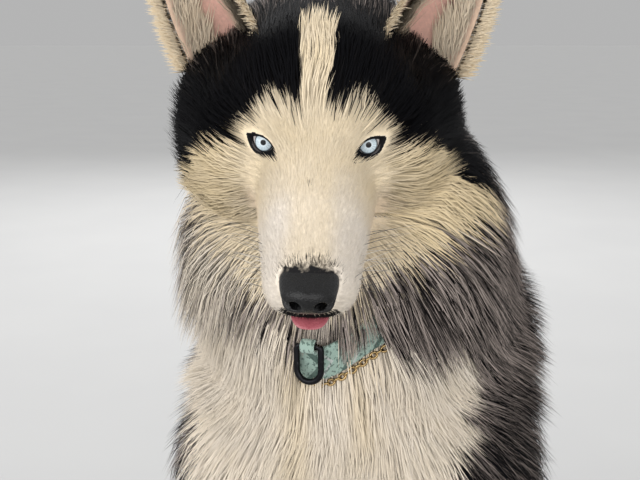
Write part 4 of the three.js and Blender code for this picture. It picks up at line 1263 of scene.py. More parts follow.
# A tuft's length and its width, each with what it gains for every millimetre of the coat's depth. The height
# of its tip, as a share of that depth. How many places it has past its root, how far it strays and how it
# bends, and how far the tufts of a clump draw together.
STYLES = {
    "short": Style(4.2, 0.5, 0.38, 0.62, 0.009, 1, 0.13, 0.2, 1.0, 0),
    "long": Style(15, 1.15, 1.04, 0.7, 0.005, 2, 0.07, 0.24, 0.6, 0.22),
    "leg": Style(7, 0.9, 0.75, 0.95, 0.012, 2, 0.1, 0.2, 0.9, 0.3),
    "paw": Style(5, 0.8, 0.55, 1.1, 0.02, 1, 0.16, 0.2, 1.0, 0),
}
IN_A_CLUMP = 22
PARTED = 0.99  # the share of the hairs over the chain that are brushed aside


def grow(name, slot, parts, count, spine, seed, grid, style, weigh=None, keep=None, over=None):
    """Roots tufts on the skin of some parts and grows them by a style."""
    rng = np.random.default_rng(seed)
    style = STYLES[style]
    weight = part_weight(*parts)
    if weigh is not None:
        chosen = weight > 0
        weight[chosen] = weigh(Dog.skin[chosen])
    roots = scattered(Dog.skin, Dog.faces, weight, int(count * sizes().coat_density), rng)
    if keep is not None:
        roots = roots[keep(roots)]
    coat = grid.at(roots)[2]
    fuller = fuller_side(roots)
    length = sizes().coat_length * (style.length + style.by_coat * coat) * fuller
    lift = (style.lift * coat + 0.5) * fuller
    lines = grown_lines(grid, roots, rng, length, lift, skin_level(coat) - 0.8, style, over)
    if style.clump:
        lines[0] = clumped(lines[0], rng, style.clump, IN_A_CLUMP)
    if style.stations == 2:
        brushed = rng.uniform(0, 1, len(roots)) < PARTED
        for _ in range(3):
            hiding = hiding_metal(lines[0], brushed)
            lines[0][:, hiding] = shortened(lines[0][:, hiding])
        clear = ~hiding_metal(lines[0], brushed)
        lines = [part[:, clear] for part in lines]
        roots, coat = roots[clear], coat[clear]
    look = markings(lines[0][-1] * 0.4 + lines[0][-2] * 0.6)
    atlas = round_spine(roots, SPINES[spine])
    piece = tuft_piece(name, lines, style.width + style.by_depth * coat, look, atlas, rng)
    return finished(piece, slot)


def open_face(roots):
    """Whether roots lie off the eyes, the nose, the tongue and the line of the lips."""
    nose = nose_height(roots)
    x, y, z = into(HEAD, roots).T
    tongue = (np.abs(x) < 14) & (y < -138) & (np.abs(z + 54) < 7)
    return ~in_almond(roots, 1.0) & (nose > 0.3) & ~tongue & (mouth_gap(roots) > 1.6)


class HUSKY_OT_face_coat(bpy.types.Operator):
    """Grows the short hair of the face and the jaw"""

    bl_idname = "husky.face_coat"
    bl_label = "Face coat"

    def execute(self, context):
        def weigh(points):
            return 0.45 + 0.55 * smooth(16, 5, Dog.head_grid.at(points)[2])

        face = ("head", "jaw")
        grow("face_coat", "face_fur", face, 49900, "face", 11, Dog.head_grid, "short", weigh, open_face)
        return {"FINISHED"}


class HUSKY_OT_long_coat(bpy.types.Operator):
    """Grows the ruff, the neck, the body, the thighs and the tail"""

    bl_idname = "husky.long_coat"
    bl_label = "Long coat"

    def execute(self, context):
        def weigh(points):
            return smooth(8, 20, Dog.head_grid.at(points)[2])

        face, grid = ("head", "jaw"), Dog.grid
        for half, seed in ((1, 23), (2, 24)):
            name = f"ruff_coat_{half}"
            grow(name, "ruff_fur", face, 24000, "ruff", seed, Dog.head_grid, "long", weigh, open_face)
        for half in (1, 2):
            name = f"neck_coat_{half}"
            grow(name, "ruff_fur", ("neck",), 27000, "neck", 30 + half, grid, "long", over=over_band)
            name = f"body_coat_{half}"
            grow(name, "body_fur", ("torso",), 19000, "torso", 40 + half, grid, "long", over=over_band)
        for hand, seed in (("left", 51), ("right", 53)):
            grow(f"thigh_coat_{hand}", "body_fur", (f"thigh_{hand}",), 10500, "thigh", seed, grid, "long")
        grow("tail_coat", "body_fur", ("tail",), 10500, "tail", 61, grid, "long")
        return {"FINISHED"}


class HUSKY_OT_leg_coat(bpy.types.Operator):
    """Grows the short hair of the legs and the paws"""

    bl_idname = "husky.leg_coat"
    bl_label = "Leg coat"

    def execute(self, context):
        counts = {"foreleg": 7000, "forepaw": 5000, "hindleg": 3500, "hindpaw": 5000}
        for hand, seed in (("left", 71), ("right", 73)):
            for part, count in counts.items():
                style = "paw" if "paw" in part else "leg"
                name = f"{part}_coat_{hand}"
                grow(name, "leg_fur", (f"{part}_{hand}",), count, part, seed, Dog.grid, style)
        return {"FINISHED"}


EarStyle = namedtuple("EarStyle", "count inset lay length width look")
# How many tufts, how deep in the ear's wall they root, how far they stand off it as a share of their length,
# that length at the ear's foot, their width, and their four masks.
EAR_STYLES = {
    "behind": EarStyle(3400, EAR_INSET, 0.22, 8.0, 1.3, (0.95, 0.7, 0.1, 0)),
    "inside": EarStyle(1300, EAR_INSET + EAR_WALL * 0.9, 0.35, 30.0, 0.9, (0, 0.5, 0, 0.05)),
    "rim": EarStyle(2100, EAR_INSET, 0.3, 19.0, 0.9, (0, 0.6, 0, 0)),
}


def ear_tufts(side, kind, style, rng):
    """One kind of an ear's tufts: lines, widths, masks, places on the map, and whether they are loose."""
    count = style.count
    level = rng.uniform(0.0, 0.97, count)
    spread = rng.uniform(-0.93, 0.93, count)
    if kind == "inside":
        level = 0.02 + 0.72 * rng.uniform(0, 1, count) ** 1.3
        spread = np.sign(rng.uniform(-1, 0.6, count)) * rng.uniform(0.58, 0.98, count)
    if kind == "rim":
        spread = np.where(rng.uniform(0, 1, count) < 0.5, -0.98, 0.98)
    root, up, beside = (
        ear_point(np.clip(level + a, 0, 0.995), np.clip(spread + b, -1, 1), style.inset)
        for a, b in ((0, 0), (0.03, 0), (0, -0.05))
    )
    rise, inward = unit(up - root), unit(beside - root)
    normal = unit(np.cross(rise, inward))
    normal *= np.where((normal * (root * (1, 1, 0))).sum(1) > 0, 1, -1)[:, None]
    if kind == "inside":
        normal = -normal
    length = style.length * (1.05 - 0.5 * level) * rng.uniform(0.7, 1.2, count)
    rim = -np.sign(spread)[:, None] * inward
    way = rise + 0.16 * rng.normal(size=(count, 3))
    if kind == "rim":
        way = way + 1.3 * rim
    if kind == "inside":
        way = rise * 0.8 - 0.45 * rim * rng.uniform(0.2, 1.2, (count, 1)) + 0.1 * rng.normal(size=(count, 3))
    way = unit(way)

    frame = ear_frame(side)
    sunk = 0.4 if kind == "behind" else 0
    lines = []
    for t in (0, 0.5, 1):
        off = length * style.lay * t * (1.3 - t) - sunk
        at = root + way * (length * t)[:, None] + normal * off[:, None]
        directions = normal * (side, 1, 1), unit(np.cross(way, normal)) * (1, side, side)
        lines.append((out_of(frame, at * (side, 1, 1)), *(d @ frame[:3, :3].T for d in directions)))
    look = np.tile(style.look, (count, 1)).astype(float)
    if kind == "behind":
        look[:, 0] = ear_dark(spread)
    atlas = np.stack([0.1 + 0.8 * (spread + 1) / 2, 0.1 + 0.8 * level], 1)
    lines = [np.array(part) for part in zip(*lines)]
    return *lines, np.full(count, style.width), look, atlas, np.full(count, float(kind == "rim"))


class HUSKY_OT_ear_coat(bpy.types.Operator):
    """Grows the short hair behind the ears, the fringe of their rims and the pale tufts inside"""

    bl_idname = "husky.ear_coat"
    bl_label = "Ear coat"

    def execute(self, context):
        rng = np.random.default_rng(81)
        for side, hand in SIDES:
            kinds = list(zip(*(ear_tufts(side, kind, style, rng) for kind, style in EAR_STYLES.items())))
            lines = [np.concatenate(part, 1) for part in kinds[:3]]
            width, look, atlas, loose = (np.concatenate(part) for part in kinds[3:])
            finished(tuft_piece(f"ear_coat_{hand}", lines, width, look, atlas, rng, loose), "ear_fur")
        return {"FINISHED"}


# The eyes, the nose, the tongue and the claws.
def grid_faces(rows, columns):
    """Quads between rows of points, each of which meets its own start."""
    r, c = np.meshgrid(np.arange(rows - 1), np.arange(columns), indexing="ij")
    a, b = r * columns + c, r * columns + (c + 1) % columns
    return np.stack([a, b, b + columns, a + columns], -1).reshape(-1, 4)


def halved(quads):
    return np.concatenate([quads[:, [0, 1, 2]], quads[:, [0, 2, 3]]])


def closed_tube(rings):
    """Triangles of a tube of rings, with a fan at each end. Its points end with the two middles."""
    rows, columns = rings.shape[:2]
    points = np.concatenate([rings.reshape(-1, 3), [rings[0].mean(0), rings[-1].mean(0)]])
    middle = np.full(columns, rows * columns)
    around = np.arange(columns)
    ahead = (around + 1) % columns
    top = (rows - 1) * columns
    fans = np.stack([middle, ahead, around], 1), np.stack([middle + 1, top + around, top + ahead], 1)
    return points, np.concatenate([halved(grid_faces(rows, columns)), *fans])


def closed_ring(rings):
    """Triangles of a tube of rings that closes on itself."""
    points = rings.reshape(-1, 3)
    return points, halved(grid_faces(len(rings) + 1, rings.shape[1]) % len(points))


def ball_rings(radius, polar, around):
    """Rings of a ball round the Y axis, from its front."""
    turn = np.linspace(0, 2 * math.pi, around, endpoint=False)
    out, ahead = (radius * np.sin(polar))[:, None], (radius * np.cos(polar))[:, None]
    return np.stack([out * np.cos(turn), -ahead + 0 * turn, out * np.sin(turn)], -1)


def tube_rings(path, radii, sides, up=(0, 0, 1), closed=False, flat=1.0):
    """Rings of points round a path. flat squeezes them along the up direction."""
    path = np.asarray(path, float)
    radii = np.broadcast_to(radii, len(path))
    if closed:
        run = np.roll(path, -1, axis=0) - np.roll(path, 1, axis=0)
    else:
        run = np.gradient(path, axis=0)
    run = unit(run)
    first = unit(np.cross(run, np.broadcast_to(up, path.shape)))
    second = np.cross(first, run)
    a = np.linspace(0, 2 * math.pi, sides, endpoint=False)
    ring = np.cos(a)[None, :, None] * first[:, None] + flat * np.sin(a)[None, :, None] * second[:, None]
    return path[:, None] + ring * radii[:, None, None]


def outward_faces(points, faces):
    """Turns a closed shape's triangles so that it has a positive volume."""
    a, b, c = (points[faces[:, i]] for i in range(3))
    volume = (np.cross(a, b) * c).sum()
    return faces if volume > 0 else faces[:, ::-1]


def merged(parts):
    """One set of points and triangles from several."""
    points, faces, start = [], [], 0
    for p, f in parts:
        points.append(p)
        faces.append(outward_faces(p, f) + start)
        start += len(p)
    return np.concatenate(points), np.concatenate(faces)


def solid_piece(name, points, faces, material):
    """A piece that is a closed shape, with its faces outward."""
    return mesh_piece(name, points, outward_faces(points, faces), material)


def eye_material(iris, pupil):
    """The eye: a white that shades to grey, a dark ring, a streaked iris and a small pupil."""
    finish = {"Roughness": 0.1, "Coat_Weight": 0.6, "Coat_Roughness": 0.02, "Specular_IOR_Level": 0.15}
    material, n, shader = new_material("iris_and_white", **finish)
    blue = colours().iris
    x, _, z = n.apart(n.attribute("eye_place")["Vector"])
    flat = n.joined(x, 0.0, z)
    away = n.add("ShaderNodeVectorMath", {0: flat}, operation="LENGTH").outputs["Value"]
    way = n.add("ShaderNodeVectorMath", {0: flat}, operation="NORMALIZE").outputs[0]
    streak = n.noise(way, 9.0, detail=4.0, roughness=0.7)
    tone = n.mix(n.ramp(streak, 0.35, 0.65), rgba([c * 0.62 for c in blue]), rgba(blue))
    tone = n.mix(n.ramp(away, pupil, pupil * 1.9, 0.55, 0.0), tone, (0.83, 0.90, 0.93, 1))
    tone = n.mix(n.ramp(away, iris * 0.80, iris * 0.97), tone, (0.035, 0.05, 0.065, 1))
    white = n.mix(n.ramp(n.noise(way, 2.2), 0.4, 0.6), (0.55, 0.48, 0.45, 1), (0.66, 0.60, 0.57, 1))
    tone = n.mix(n.ramp(away, iris * 0.98, iris * 1.08), tone, white)
    tone = n.mix(n.ramp(away, pupil * 0.9, pupil * 1.12), (0.004, 0.004, 0.005, 1), tone)
    n.link(tone, shader["Base Color"])
    return material


def dark_skin_material():
    """The bare dark skin of the lids."""
    material, n, shader = new_material("dark_skin", Roughness=0.38, Specular_IOR_Level=0.5)
    grain = n.noise(n.where(), 900.0, detail=3.0)
    n.link(n.mix(grain, (0.012, 0.010, 0.010, 1), (0.045, 0.034, 0.032, 1)), shader["Base Color"])
    n.link(n.bump(grain, 0.5, 0.0004), shader["Normal"])
    return material


def eyeball():
    """A ball with a risen cornea, in its own frame, and its triangles."""
    polar = np.radians(180 * np.linspace(0, 1, 42)[1:-1] ** 1.5)
    radius = EYE_RADIUS + CORNEA_RISE * smooth(*CORNEA_EDGE, np.degrees(polar))
    points, faces = closed_tube(ball_rings(radius, polar, 48))
    points[-2] = (0, -EYE_RADIUS - CORNEA_RISE, 0)
    points[-1] = (0, EYE_RADIUS, 0)
    return points, faces


def lid_rim(side):
    """The dark rim of an eye's lids, thicker above and at the inner corner."""
    half, high = EYE_OPENING / 2 - 0.4, EYE_OPENING_HEIGHT / 2 - 0.5
    a = np.linspace(0, 2 * math.pi, 72, endpoint=False)
    u = half * np.cos(a)
    v = np.sign(np.sin(a)) * high * (1 - (u / half) ** 2)
    slant = math.radians(side * EYE_SLANT)
    x = u * math.cos(slant) - v * math.sin(slant)
    z = u * math.sin(slant) + v * math.cos(slant)
    reach = EYE_RADIUS + 0.9
    path = np.stack([x, -np.sqrt(np.maximum(reach**2 - x * x - z * z, 16)), z], 1)
    thick = 1.05 + 0.45 * smooth(0.2, -0.6, v / high) + 0.35 * smooth(0.5, 1.0, -side * u / half)
    points, faces = closed_ring(tube_rings(path, thick, 8, up=(0, -1, 0), closed=True))
    return out_of(eye_frame(side), points), faces


class HUSKY_OT_eyes(bpy.types.Operator):
    """Makes both eyes and the dark rims of their lids"""

    bl_idname = "husky.eyes"
    bl_label = "Eyes"

    def execute(self, context):
        material = eye_material(1000 * sizes().iris_radius, 1000 * sizes().pupil_radius)
        for side, hand in SIDES:
            local, faces = eyeball()
            points = out_of(joined_frame(eye_frame(side), turned("X", -GAZE_UP)), local)
            eye = solid_piece(f"eyeball_{hand}", points, faces, material)
            add_values(eye.data, "eye_place", local)
            finished(eye, "eye", f"eye_{hand}")
        points, faces = merged([lid_rim(side) for side, _ in SIDES])
        finished(mesh_piece("eye_rims", points, faces, dark_skin_material()), "nose_leather")
        return {"FINISHED"}


def capsules(p, line, radii):
    """The distance to a bent rod with round ends."""
    best = np.full(len(p), 99.0)
    line = np.array(line, float)
    for a, run, first, last in zip(line, np.diff(line, axis=0), radii, radii[1:]):
        t = np.clip((p - a) @ run / (run @ run), 0, 1)
        gap = np.linalg.norm(p - a - t[:, None] * run, axis=1)
        best = np.minimum(best, gap - (first + (last - first) * t))
    return best


# The openings of the nose, in the head's frame: nostrils, the slits beside them and the cleft.
NOSTRIL = ([(5.8, -184, -27.5), (7.2, -175, -28.5), (8.6, -164, -29)], (3.9, 4.0, 2.6), 0.5)
NOSE_SLIT = ([(7.8, -176, -30), (12.5, -170.5, -30.4), (17.5, -163, -28)], (3.0, 2.8, 1.6), 0.4)
CLEFT = ([(0, -182, -24), (0, -179, -32), (0, -168, -46)], (0.5, 1.5, 2.0), 0.5)
NOSE_TOP = 16.9
NOSE_MIDDLE = (0, -160, -27)
NOSE_REACH = 27.0  # half the size of the box that the leather is netted in, and its cells
NOSE_CELL = 0.8


def nose_height(points):
    """The height over the nose leather, which is level on top and open at the nostrils."""
    height = Flesh(NOSE, PAW_BLEND, HEAD).at(points)[0]
    x, y, z = into(HEAD, points).T
    top = z + NOSE_TOP - 0.12 * (y + 156) + 3.5 * (x / 15) ** 2
    flank = 0.917 * np.abs(x) - 0.397 * z - 26.8
    height = np.logaddexp(np.logaddexp(height, top), flank)
    p = np.stack([np.abs(x), y, z], 1)
    for line, radii, soft in (NOSTRIL, NOSE_SLIT, CLEFT):
        height = soft * np.logaddexp(height / soft, -capsules(p, line, radii) / soft)
    return height


def nose_material():
    material, n, shader = new_material("nose_pebble", Specular_IOR_Level=0.34)
    where = n.where()
    pebble, fine = n.cells(where, 900.0), n.noise(where, 1500.0)
    # Painted shade: the grooves between the pebbles, which the bump sets low, are coloured darker than the
    # pebbles' tops.
    n.link(n.mix(n.ramp(pebble, 0.1, 0.6), (0.009, 0.009, 0.010, 1), grey(0.003)), shader["Base Color"])
    n.link(n.ramp(fine, 0.3, 0.7, 0.26, 0.38), shader["Roughness"])
    high = n.math("ADD", n.math("MULTIPLY", pebble, -1.0), n.math("MULTIPLY", fine, 0.2))
    n.link(n.bump(high, 0.45, 0.0004), shader["Normal"])
    return material


def tongue_material():
    material, n, shader = new_material("tongue_flesh", Roughness=0.36, Coat_Weight=0.25)
    where = n.where()
    n.link(n.mix(n.noise(where, 160.0), (0.36, 0.075, 0.10, 1), (0.48, 0.13, 0.15, 1)), shader["Base Color"])
    n.link(n.bump(n.cells(where, 900.0), 0.4, 0.0006), shader["Normal"])
    return material


def tongue_mesh():
    """An oval with square shoulders and a groove along its top."""
    points, faces = closed_tube(ball_rings(1, np.radians(np.linspace(0, 180, 26)[1:-1]), 40))
    points[-2], points[-1] = (0, -1, 0), (0, 1, 0)
    x, y, z = points.T
    square = (1 - np.abs(y) ** 3) ** (1 / 3) / np.sqrt(np.maximum(1 - y**2, 1e-4))
    x *= np.where(np.abs(y) < 0.999, square, 1)
    z -= 0.35 * np.exp(-((x / 0.16) ** 2)) * (z > 0) * z
    return out_of(HEAD, points * TONGUE_HALF_SIZES @ turned("X", TONGUE_DROOP).T + TONGUE_AT), faces


class HUSKY_OT_nose(bpy.types.Operator):
    """Makes the nose leather with its nostrils, and the tip of the tongue"""

    bl_idname = "husky.nose"
    bl_label = "Nose"

    def execute(self, context):
        centre = out_of(HEAD, [NOSE_MIDDLE])[0]
        axis = np.arange(-NOSE_REACH, NOSE_REACH, NOSE_CELL)
        points = np.stack(np.meshgrid(axis, axis, axis, indexing="ij"), -1).reshape(-1, 3) + centre
        field = nose_height(points).reshape(len(axis), len(axis), len(axis))
        points, faces = netted(field, centre - NOSE_REACH, NOSE_CELL)
        points = settled(points, nose_height, rounds=2, step=0.2)
        finished(mesh_piece("nose_tip", points, halved(faces), nose_material()), "nose_leather", "nose")
        finished(solid_piece("tongue_tip", *tongue_mesh(), tongue_material()), "tongue", "tongue")
        return {"FINISHED"}


class HUSKY_OT_claws(bpy.types.Operator):
    """Makes the sixteen claws"""

    bl_idname = "husky.claws"
    bl_label = "Claws"

    def execute(self, context):
        parts, names = [], []
        t = np.linspace(0, 1, 9)[:, None]
        radius = CLAW_RADIUS * (1 - 0.86 * t[:, 0] ** 2.2)
        for foot, (x, y) in (("fore", FORE_TOES_AT), ("hind", HIND_TOES_AT)):
            for side, hand in SIDES:
                for number, toe in enumerate(TOES, 1):
                    root, bend, tip = (
                        np.array([side * (x + toe), y - toe_reach(toe) + ahead, height])
                        for ahead, height in ((3, 13), (-16, 14), (-21, 3))
                    )
                    path = (1 - t) ** 2 * root + 2 * t * (1 - t) * bend + t * t * tip
                    parts.append(closed_tube(tube_rings(path, radius, 10, up=(1, 0, 0), flat=0.72)))
                    names.append(f"{foot}_claw_{hand}_{number}")
        points, faces = merged(parts)
        material, n, shader = new_material("claw_horn", Roughness=0.35, Coat_Weight=0.25)
        grain = n.noise(n.stretched(n.where(), (1.0, 0.25, 1.0)), 700.0, detail=3.0)
        n.link(n.mix(grain, (0.020, 0.016, 0.014, 1), (0.16, 0.12, 0.09, 1)), shader["Base Color"])
        n.link(n.bump(grain, 0.4, 0.0003), shader["Normal"])
        finished(mesh_piece("claws", points, faces, material), "claw", *names)
        return {"FINISHED"}


# The collar.
def ring_pull(x, y):
    """How much of the ring's pull reaches the band on the way from the collar's axis to x and y."""
    return np.exp(-((np.arctan2(x, -y) / COLLAR_PULL_WIDTH) ** 2))


def round_neck(angles, along, over):
    """Places on the neck's wool at angles round the collar's axis, some way along it and over the wool."""
    angles, along, over = np.broadcast_arrays(np.asarray(angles, float), along, over)
    flat = angles.ravel()
    ways = np.stack([np.cos(flat), np.sin(flat), 0 * flat], 1) @ COLLAR[:3, :3].T
    pull = ring_pull(np.cos(flat), np.sin(flat))
    starts = np.array(COLLAR_AT) + (along.ravel() - COLLAR_PULL * pull)[:, None] * COLLAR[:3, 2]
    # Each way is followed inward to where it meets the wool.
    step = 1.5
    reaches = np.arange(150.0, 10.0, -step)
    samples = starts[:, None] + reaches[None, :, None] * ways[:, None]
    height, coat, _ = PARTS["neck"].at(samples.reshape(-1, 3))
    gap = (height - CORE_SHARE * coat - COLLAR_OVER).reshape(len(flat), len(reaches))
    first = np.argmax(gap < 0, axis=1)
    rows = np.arange(len(flat))
    inner, outer = gap[rows, first], gap[rows, first - 1]
    reach = reaches[first] + step * (-inner) / np.maximum(outer - inner, 1e-6)
    points = starts + (reach + over.ravel() + COLLAR_PULL_OUT * pull)[:, None] * ways
    return points.reshape(*angles.shape, 3)


def band_place(points):
    """How far along the collar's axis points lie from the band's middle line, and the ring's pull there."""
    local = into(COLLAR, points)
    pull = ring_pull(local[..., 0], local[..., 1])
    return local[..., 2] + COLLAR_PULL * pull, pull


def over_band(points, wanted, t):
    """Lifts hair that passes the band over it."""
    along, pull = band_place(points)
    coat = Dog.grid.at(points)[2]
    top = CORE_SHARE * coat + COLLAR_OVER + COLLAR_WALL + COLLAR_PULL_OUT * pull + 1.5 + 4 * t
    near = smooth(COLLAR_WIDTH / 2 + 14, COLLAR_WIDTH / 2 + 3, np.abs(along + 2))
    return np.maximum(wanted, near * top + (1 - near) * wanted) if t > 0 else wanted


def shortened(places):
    """The near half of each line."""
    return np.array([places[0], (places[0] + places[1]) / 2, places[1]])


def along_lines(places):
    """Places close together along each hair."""
    steps = [a + (b - a) * t for a, b in zip(places, places[1:]) for t in np.arange(10) / 10]
    return np.array([*steps, places[-1]])


def in_ring_window(places):
    """Which hairs would cross the parting round the ring. It is measured from the ring's middle."""
    x, y, z = np.moveaxis(along_lines(places) - np.array(RING_AT), -1, 0)
    return ((x > -11) & (x < 13 + 8 * (z > -8)) & (y < 9) & (z < 6 + 0.5 * x) & (z > -17)).any(0)


def chain_line(angles, over=CHAIN_OVER):
    return round_neck(angles, -COLLAR_WIDTH / 2 - CHAIN_BELOW, over)


def seen(points):
    """Where points appear from the front view: across, up, and how far off."""
    way, look = points - np.array(VIEW_FROM), np.array(VIEW_LOOK)
    right = unit(np.cross(look, (0, 0, 1)))
    far = way @ look
    return way @ right / far, way @ np.cross(right, look) / far, far


CHAIN_SHOWS = (6, 50)  # where beside the ring it does, and how far across it the coat is parted, as seen
CHAIN_PARTING = 0.0052


def over_chain(places):
    """Which hairs would hide the chain where it comes out of the coat beside the ring."""
    line = chain_line(np.linspace(0, 2 * math.pi, 240))
    x = line[:, 0] - RING_AT[0]
    line = line[(line[:, 1] < -200) & (x > CHAIN_SHOWS[0]) & (x < CHAIN_SHOWS[1])]
    across, up, far = seen(line[np.argsort(line[:, 0])])
    a, u, f = seen(along_lines(places))
    near = np.abs(u - np.interp(a, across, up)) < CHAIN_PARTING
    return (near & (a > across[0]) & (a < across[-1]) & (f < np.interp(a, across, far))).any(0)


def hiding_metal(places, brushed):
    """Which hairs would hide the ring, or the chain if they are of those that are brushed aside there."""
    return in_ring_window(places) | (over_chain(places) & brushed)


def web_group():
    """Woven webbing: raised ribs across, and a pattern of chevrons with small marks between them. Painted
    shade darkens the weave where it lies low.
    """
    inputs = {
        "Ground": rgba(colours().webbing), "Pale": (0.78, 0.84, 0.80, 1), "Mark": (0.03, 0.10, 0.075, 1),
        "Along": 0.0, "Across": 0.0, "Repeat": 26.0, "Thread": 0.9,
    }
    outputs = {"Color": "NodeSocketColor", "Height": "NodeSocketFloat"}
    tree, n, given, out = group_tree("woven_web", inputs, outputs)
    along, across = given["Along"], given["Across"]
    bent = n.math("ADD", along, n.math("MULTIPLY", n.math("ABSOLUTE", across), 0.9))
    turn = n.math("FRACT", n.math("DIVIDE", bent, given["Repeat"]))
    stripe = n.math("MULTIPLY", n.ramp(turn, 0.10, 0.14), n.ramp(turn, 0.34, 0.30))
    thin = n.math("MULTIPLY", n.ramp(turn, 0.44, 0.47), n.ramp(turn, 0.56, 0.53))
    speck = n.ramp(n.noise(n.joined(along, across), 0.4, detail=1.0), 0.56, 0.6)
    colour = n.mix(thin, given["Ground"], given["Pale"])
    colour = n.mix(n.math("MULTIPLY", stripe, 0.85), colour, given["Mark"])
    colour = n.mix(n.math("MULTIPLY", speck, 0.7), colour, given["Mark"])
    rib, warp = (
        n.math("SINE", n.math("DIVIDE", n.math("MULTIPLY", way, 2 * math.pi), given["Thread"]))
        for way in (along, across)
    )
    height = n.math("MULTIPLY", rib, warp)
    # Painted shade: the colour is darkened where the weave's height is low, in its hollows.
    n.link(n.tinted(colour, n.ramp(height, -1.0, 1.0, 0.62, 1.08)), out["Color"])
    n.link(height, out["Height"])
    return tree


def web_material():
    """The mint webbing. Its UV map "web" is in millimetres along and across."""
    if "mint_web" in bpy.data.materials:
        return bpy.data.materials["mint_web"]
    material, n, shader = new_material("mint_web", Roughness=0.85, Sheen_Weight=0.2)
    along, across, _ = n.uv("web")
    web = n.group(web_group(), {"Along": along, "Across": across})
    n.link(web["Color"], shader["Base Color"])
    n.link(n.bump(web["Height"], 0.7, 0.0005), shader["Normal"])
    return material


def metal_material(name, colour, worn, roughness, wear):
    """Metal with a finish that has rubbed off in places."""
    material, n, shader = new_material(name, Metallic=1.0)
    where = n.where()
    patches = n.noise(where, 240.0, detail=4.0, roughness=0.6)
    rubbed = n.ramp(patches, 0.72 - wear, 0.80 - wear)
    n.link(n.mix(rubbed, rgba(colour), rgba(worn)), shader["Base Color"])
    n.link(n.ramp(patches, 0.3, 0.7, roughness - 0.08, roughness + 0.12), shader["Roughness"])
    n.link(n.bump(n.noise(where, 1400.0), 0.25, 0.0002), shader["Normal"])
    return material


def buckle_material():
    material, n, shader = new_material("buckle_plastic", Roughness=0.42)
    where = n.where()
    tone = n.mix(n.noise(where, 90.0), (0.014, 0.014, 0.016, 1), (0.035, 0.035, 0.038, 1))
    n.link(tone, shader["Base Color"])
    n.link(n.bump(n.noise(where, 1800.0, detail=3.0), 0.4, 0.0002), shader["Normal"])
    return material


def band_outline():
    """The band's cross-section with rounded edges: how far along the collar's axis, and how far out."""
    half, wall, edge = COLLAR_WIDTH / 2, COLLAR_WALL, 0.9
    outline = []
    for start, a, o in ((90, half - edge, wall - edge), (0, half - edge, edge), (-90, edge - half, edge),
                        (180, edge - half, wall - edge)):
        for turn in np.radians(start - np.arange(0, 91, 30)):
            outline.append((a + edge * math.cos(turn), o + edge * math.sin(turn)))
    return outline


def band_piece():
    """The woven band."""
    steps = 180
    outline = np.array(band_outline())
    angles = np.linspace(0, 2 * math.pi, steps, endpoint=False)
    points, faces = closed_ring(round_neck(angles[:, None], outline[:, 0], outline[:, 1]))
    band = solid_piece("collar_band", points, faces, web_material())
    along = walked(round_neck(angles, 0, COLLAR_WALL / 2))
    add_uv(band.data, "web", np.stack([np.repeat(along, len(outline)), np.tile(outline[:, 0], steps)], 1))
    return band


# The loop's cross-section, and how far it runs past the ring's bar.
LOOP_OUTLINE = ((-1, -0.6), (-0.92, -1), (0.92, -1), (1, -0.6), (1, 0.6), (0.92, 1), (-0.92, 1), (-1, 0.6))
LOOP_THICK, LOOP_WIDE = 0.95, 5.0
LOOP_ROUND = RING_WIRE / 2 + 1.95
LOOP_ENDS = ((11.0, -1.0), (7.0, -2.2))


def loop_piece():
    """The loop of webbing that holds the ring's bar, with its ends sewn to the band."""
    x, y, z = np.array(RING_AT) + (0, 0, RING_HEIGHT / 2 - RING_WIRE / 2)
    turn = np.radians(np.linspace(-150, 150, 25))
    arc = np.stack([-LOOP_ROUND * np.cos(turn), LOOP_ROUND * np.sin(turn)], 1)
    path = np.array([*LOOP_ENDS, *arc, *((py, -pz) for py, pz in LOOP_ENDS[::-1])])
    run = unit(np.gradient(path, axis=0))
    side = np.stack([-run[:, 1], run[:, 0]], 1)
    rings = []
    for a, o in LOOP_OUTLINE:
        py, pz = (path + side * LOOP_THICK * o).T
        rings.append(np.stack([np.full(len(path), x + LOOP_WIDE * a), y + py, z + pz], 1))
    loop = solid_piece("ring_loop", *closed_tube(np.stack(rings, 1)), web_material())
    length = walked(path)
    across = np.tile([LOOP_WIDE * a for a, _ in LOOP_OUTLINE], len(path))
    web = np.stack([np.repeat(length, len(LOOP_OUTLINE)), across], 1)
    add_uv(loop.data, "web", np.concatenate([web, [[0, 0], [length[-1], 0]]]))
    return loop


def buckle_piece():
    """The buckle: a curved plate of two halves that click together, with a waist and ribs for the fingers."""
    t = np.linspace(-1, 1, 41)
    waist = 1 - 0.16 * smooth(0.15, 0.4, np.abs(t)) * smooth(0.75, 0.5, np.abs(t))
    ends = np.sqrt(np.clip(1 - (np.abs(t) / 1.02) ** 14, 0.02, 1))
    half = (COLLAR_WIDTH / 2 + 3) * waist * (0.9 + 0.1 * ends)
    thick = 3.2
    ribs = 1 + 0.08 * np.cos(34 * t) * smooth(0.3, 0.5, np.abs(t))
    rise = thick * ends * ribs * (1 - 0.5 * np.exp(-((t / 0.03) ** 2)))
    turn = np.linspace(0, 2 * math.pi, 24, endpoint=False)
    across, out = (np.sign(way) * np.abs(way) ** 0.35 for way in (np.cos(turn), np.sin(turn)))
    over = COLLAR_WALL + 0.3 + thick + rise[:, None] * out * np.where(out > 0, 1, 0.95)
    angles = (math.pi / 2 + BUCKLE_REACH * t)[:, None]
    rings = round_neck(angles, half[:, None] * across, over)
    return solid_piece("side_buckle", *closed_tube(rings), buckle_material())


class HUSKY_OT_collar(bpy.types.Operator):
    """Makes the collar's woven band, its loop and its buckle"""

    bl_idname = "husky.collar"
    bl_label = "Collar"

    def execute(self, context):
        finished(band_piece(), "webbing", "collar")
        finished(loop_piece(), "webbing", "collar_loop")
        finished(buckle_piece(), "buckle", "collar_buckle")
        return {"FINISHED"}


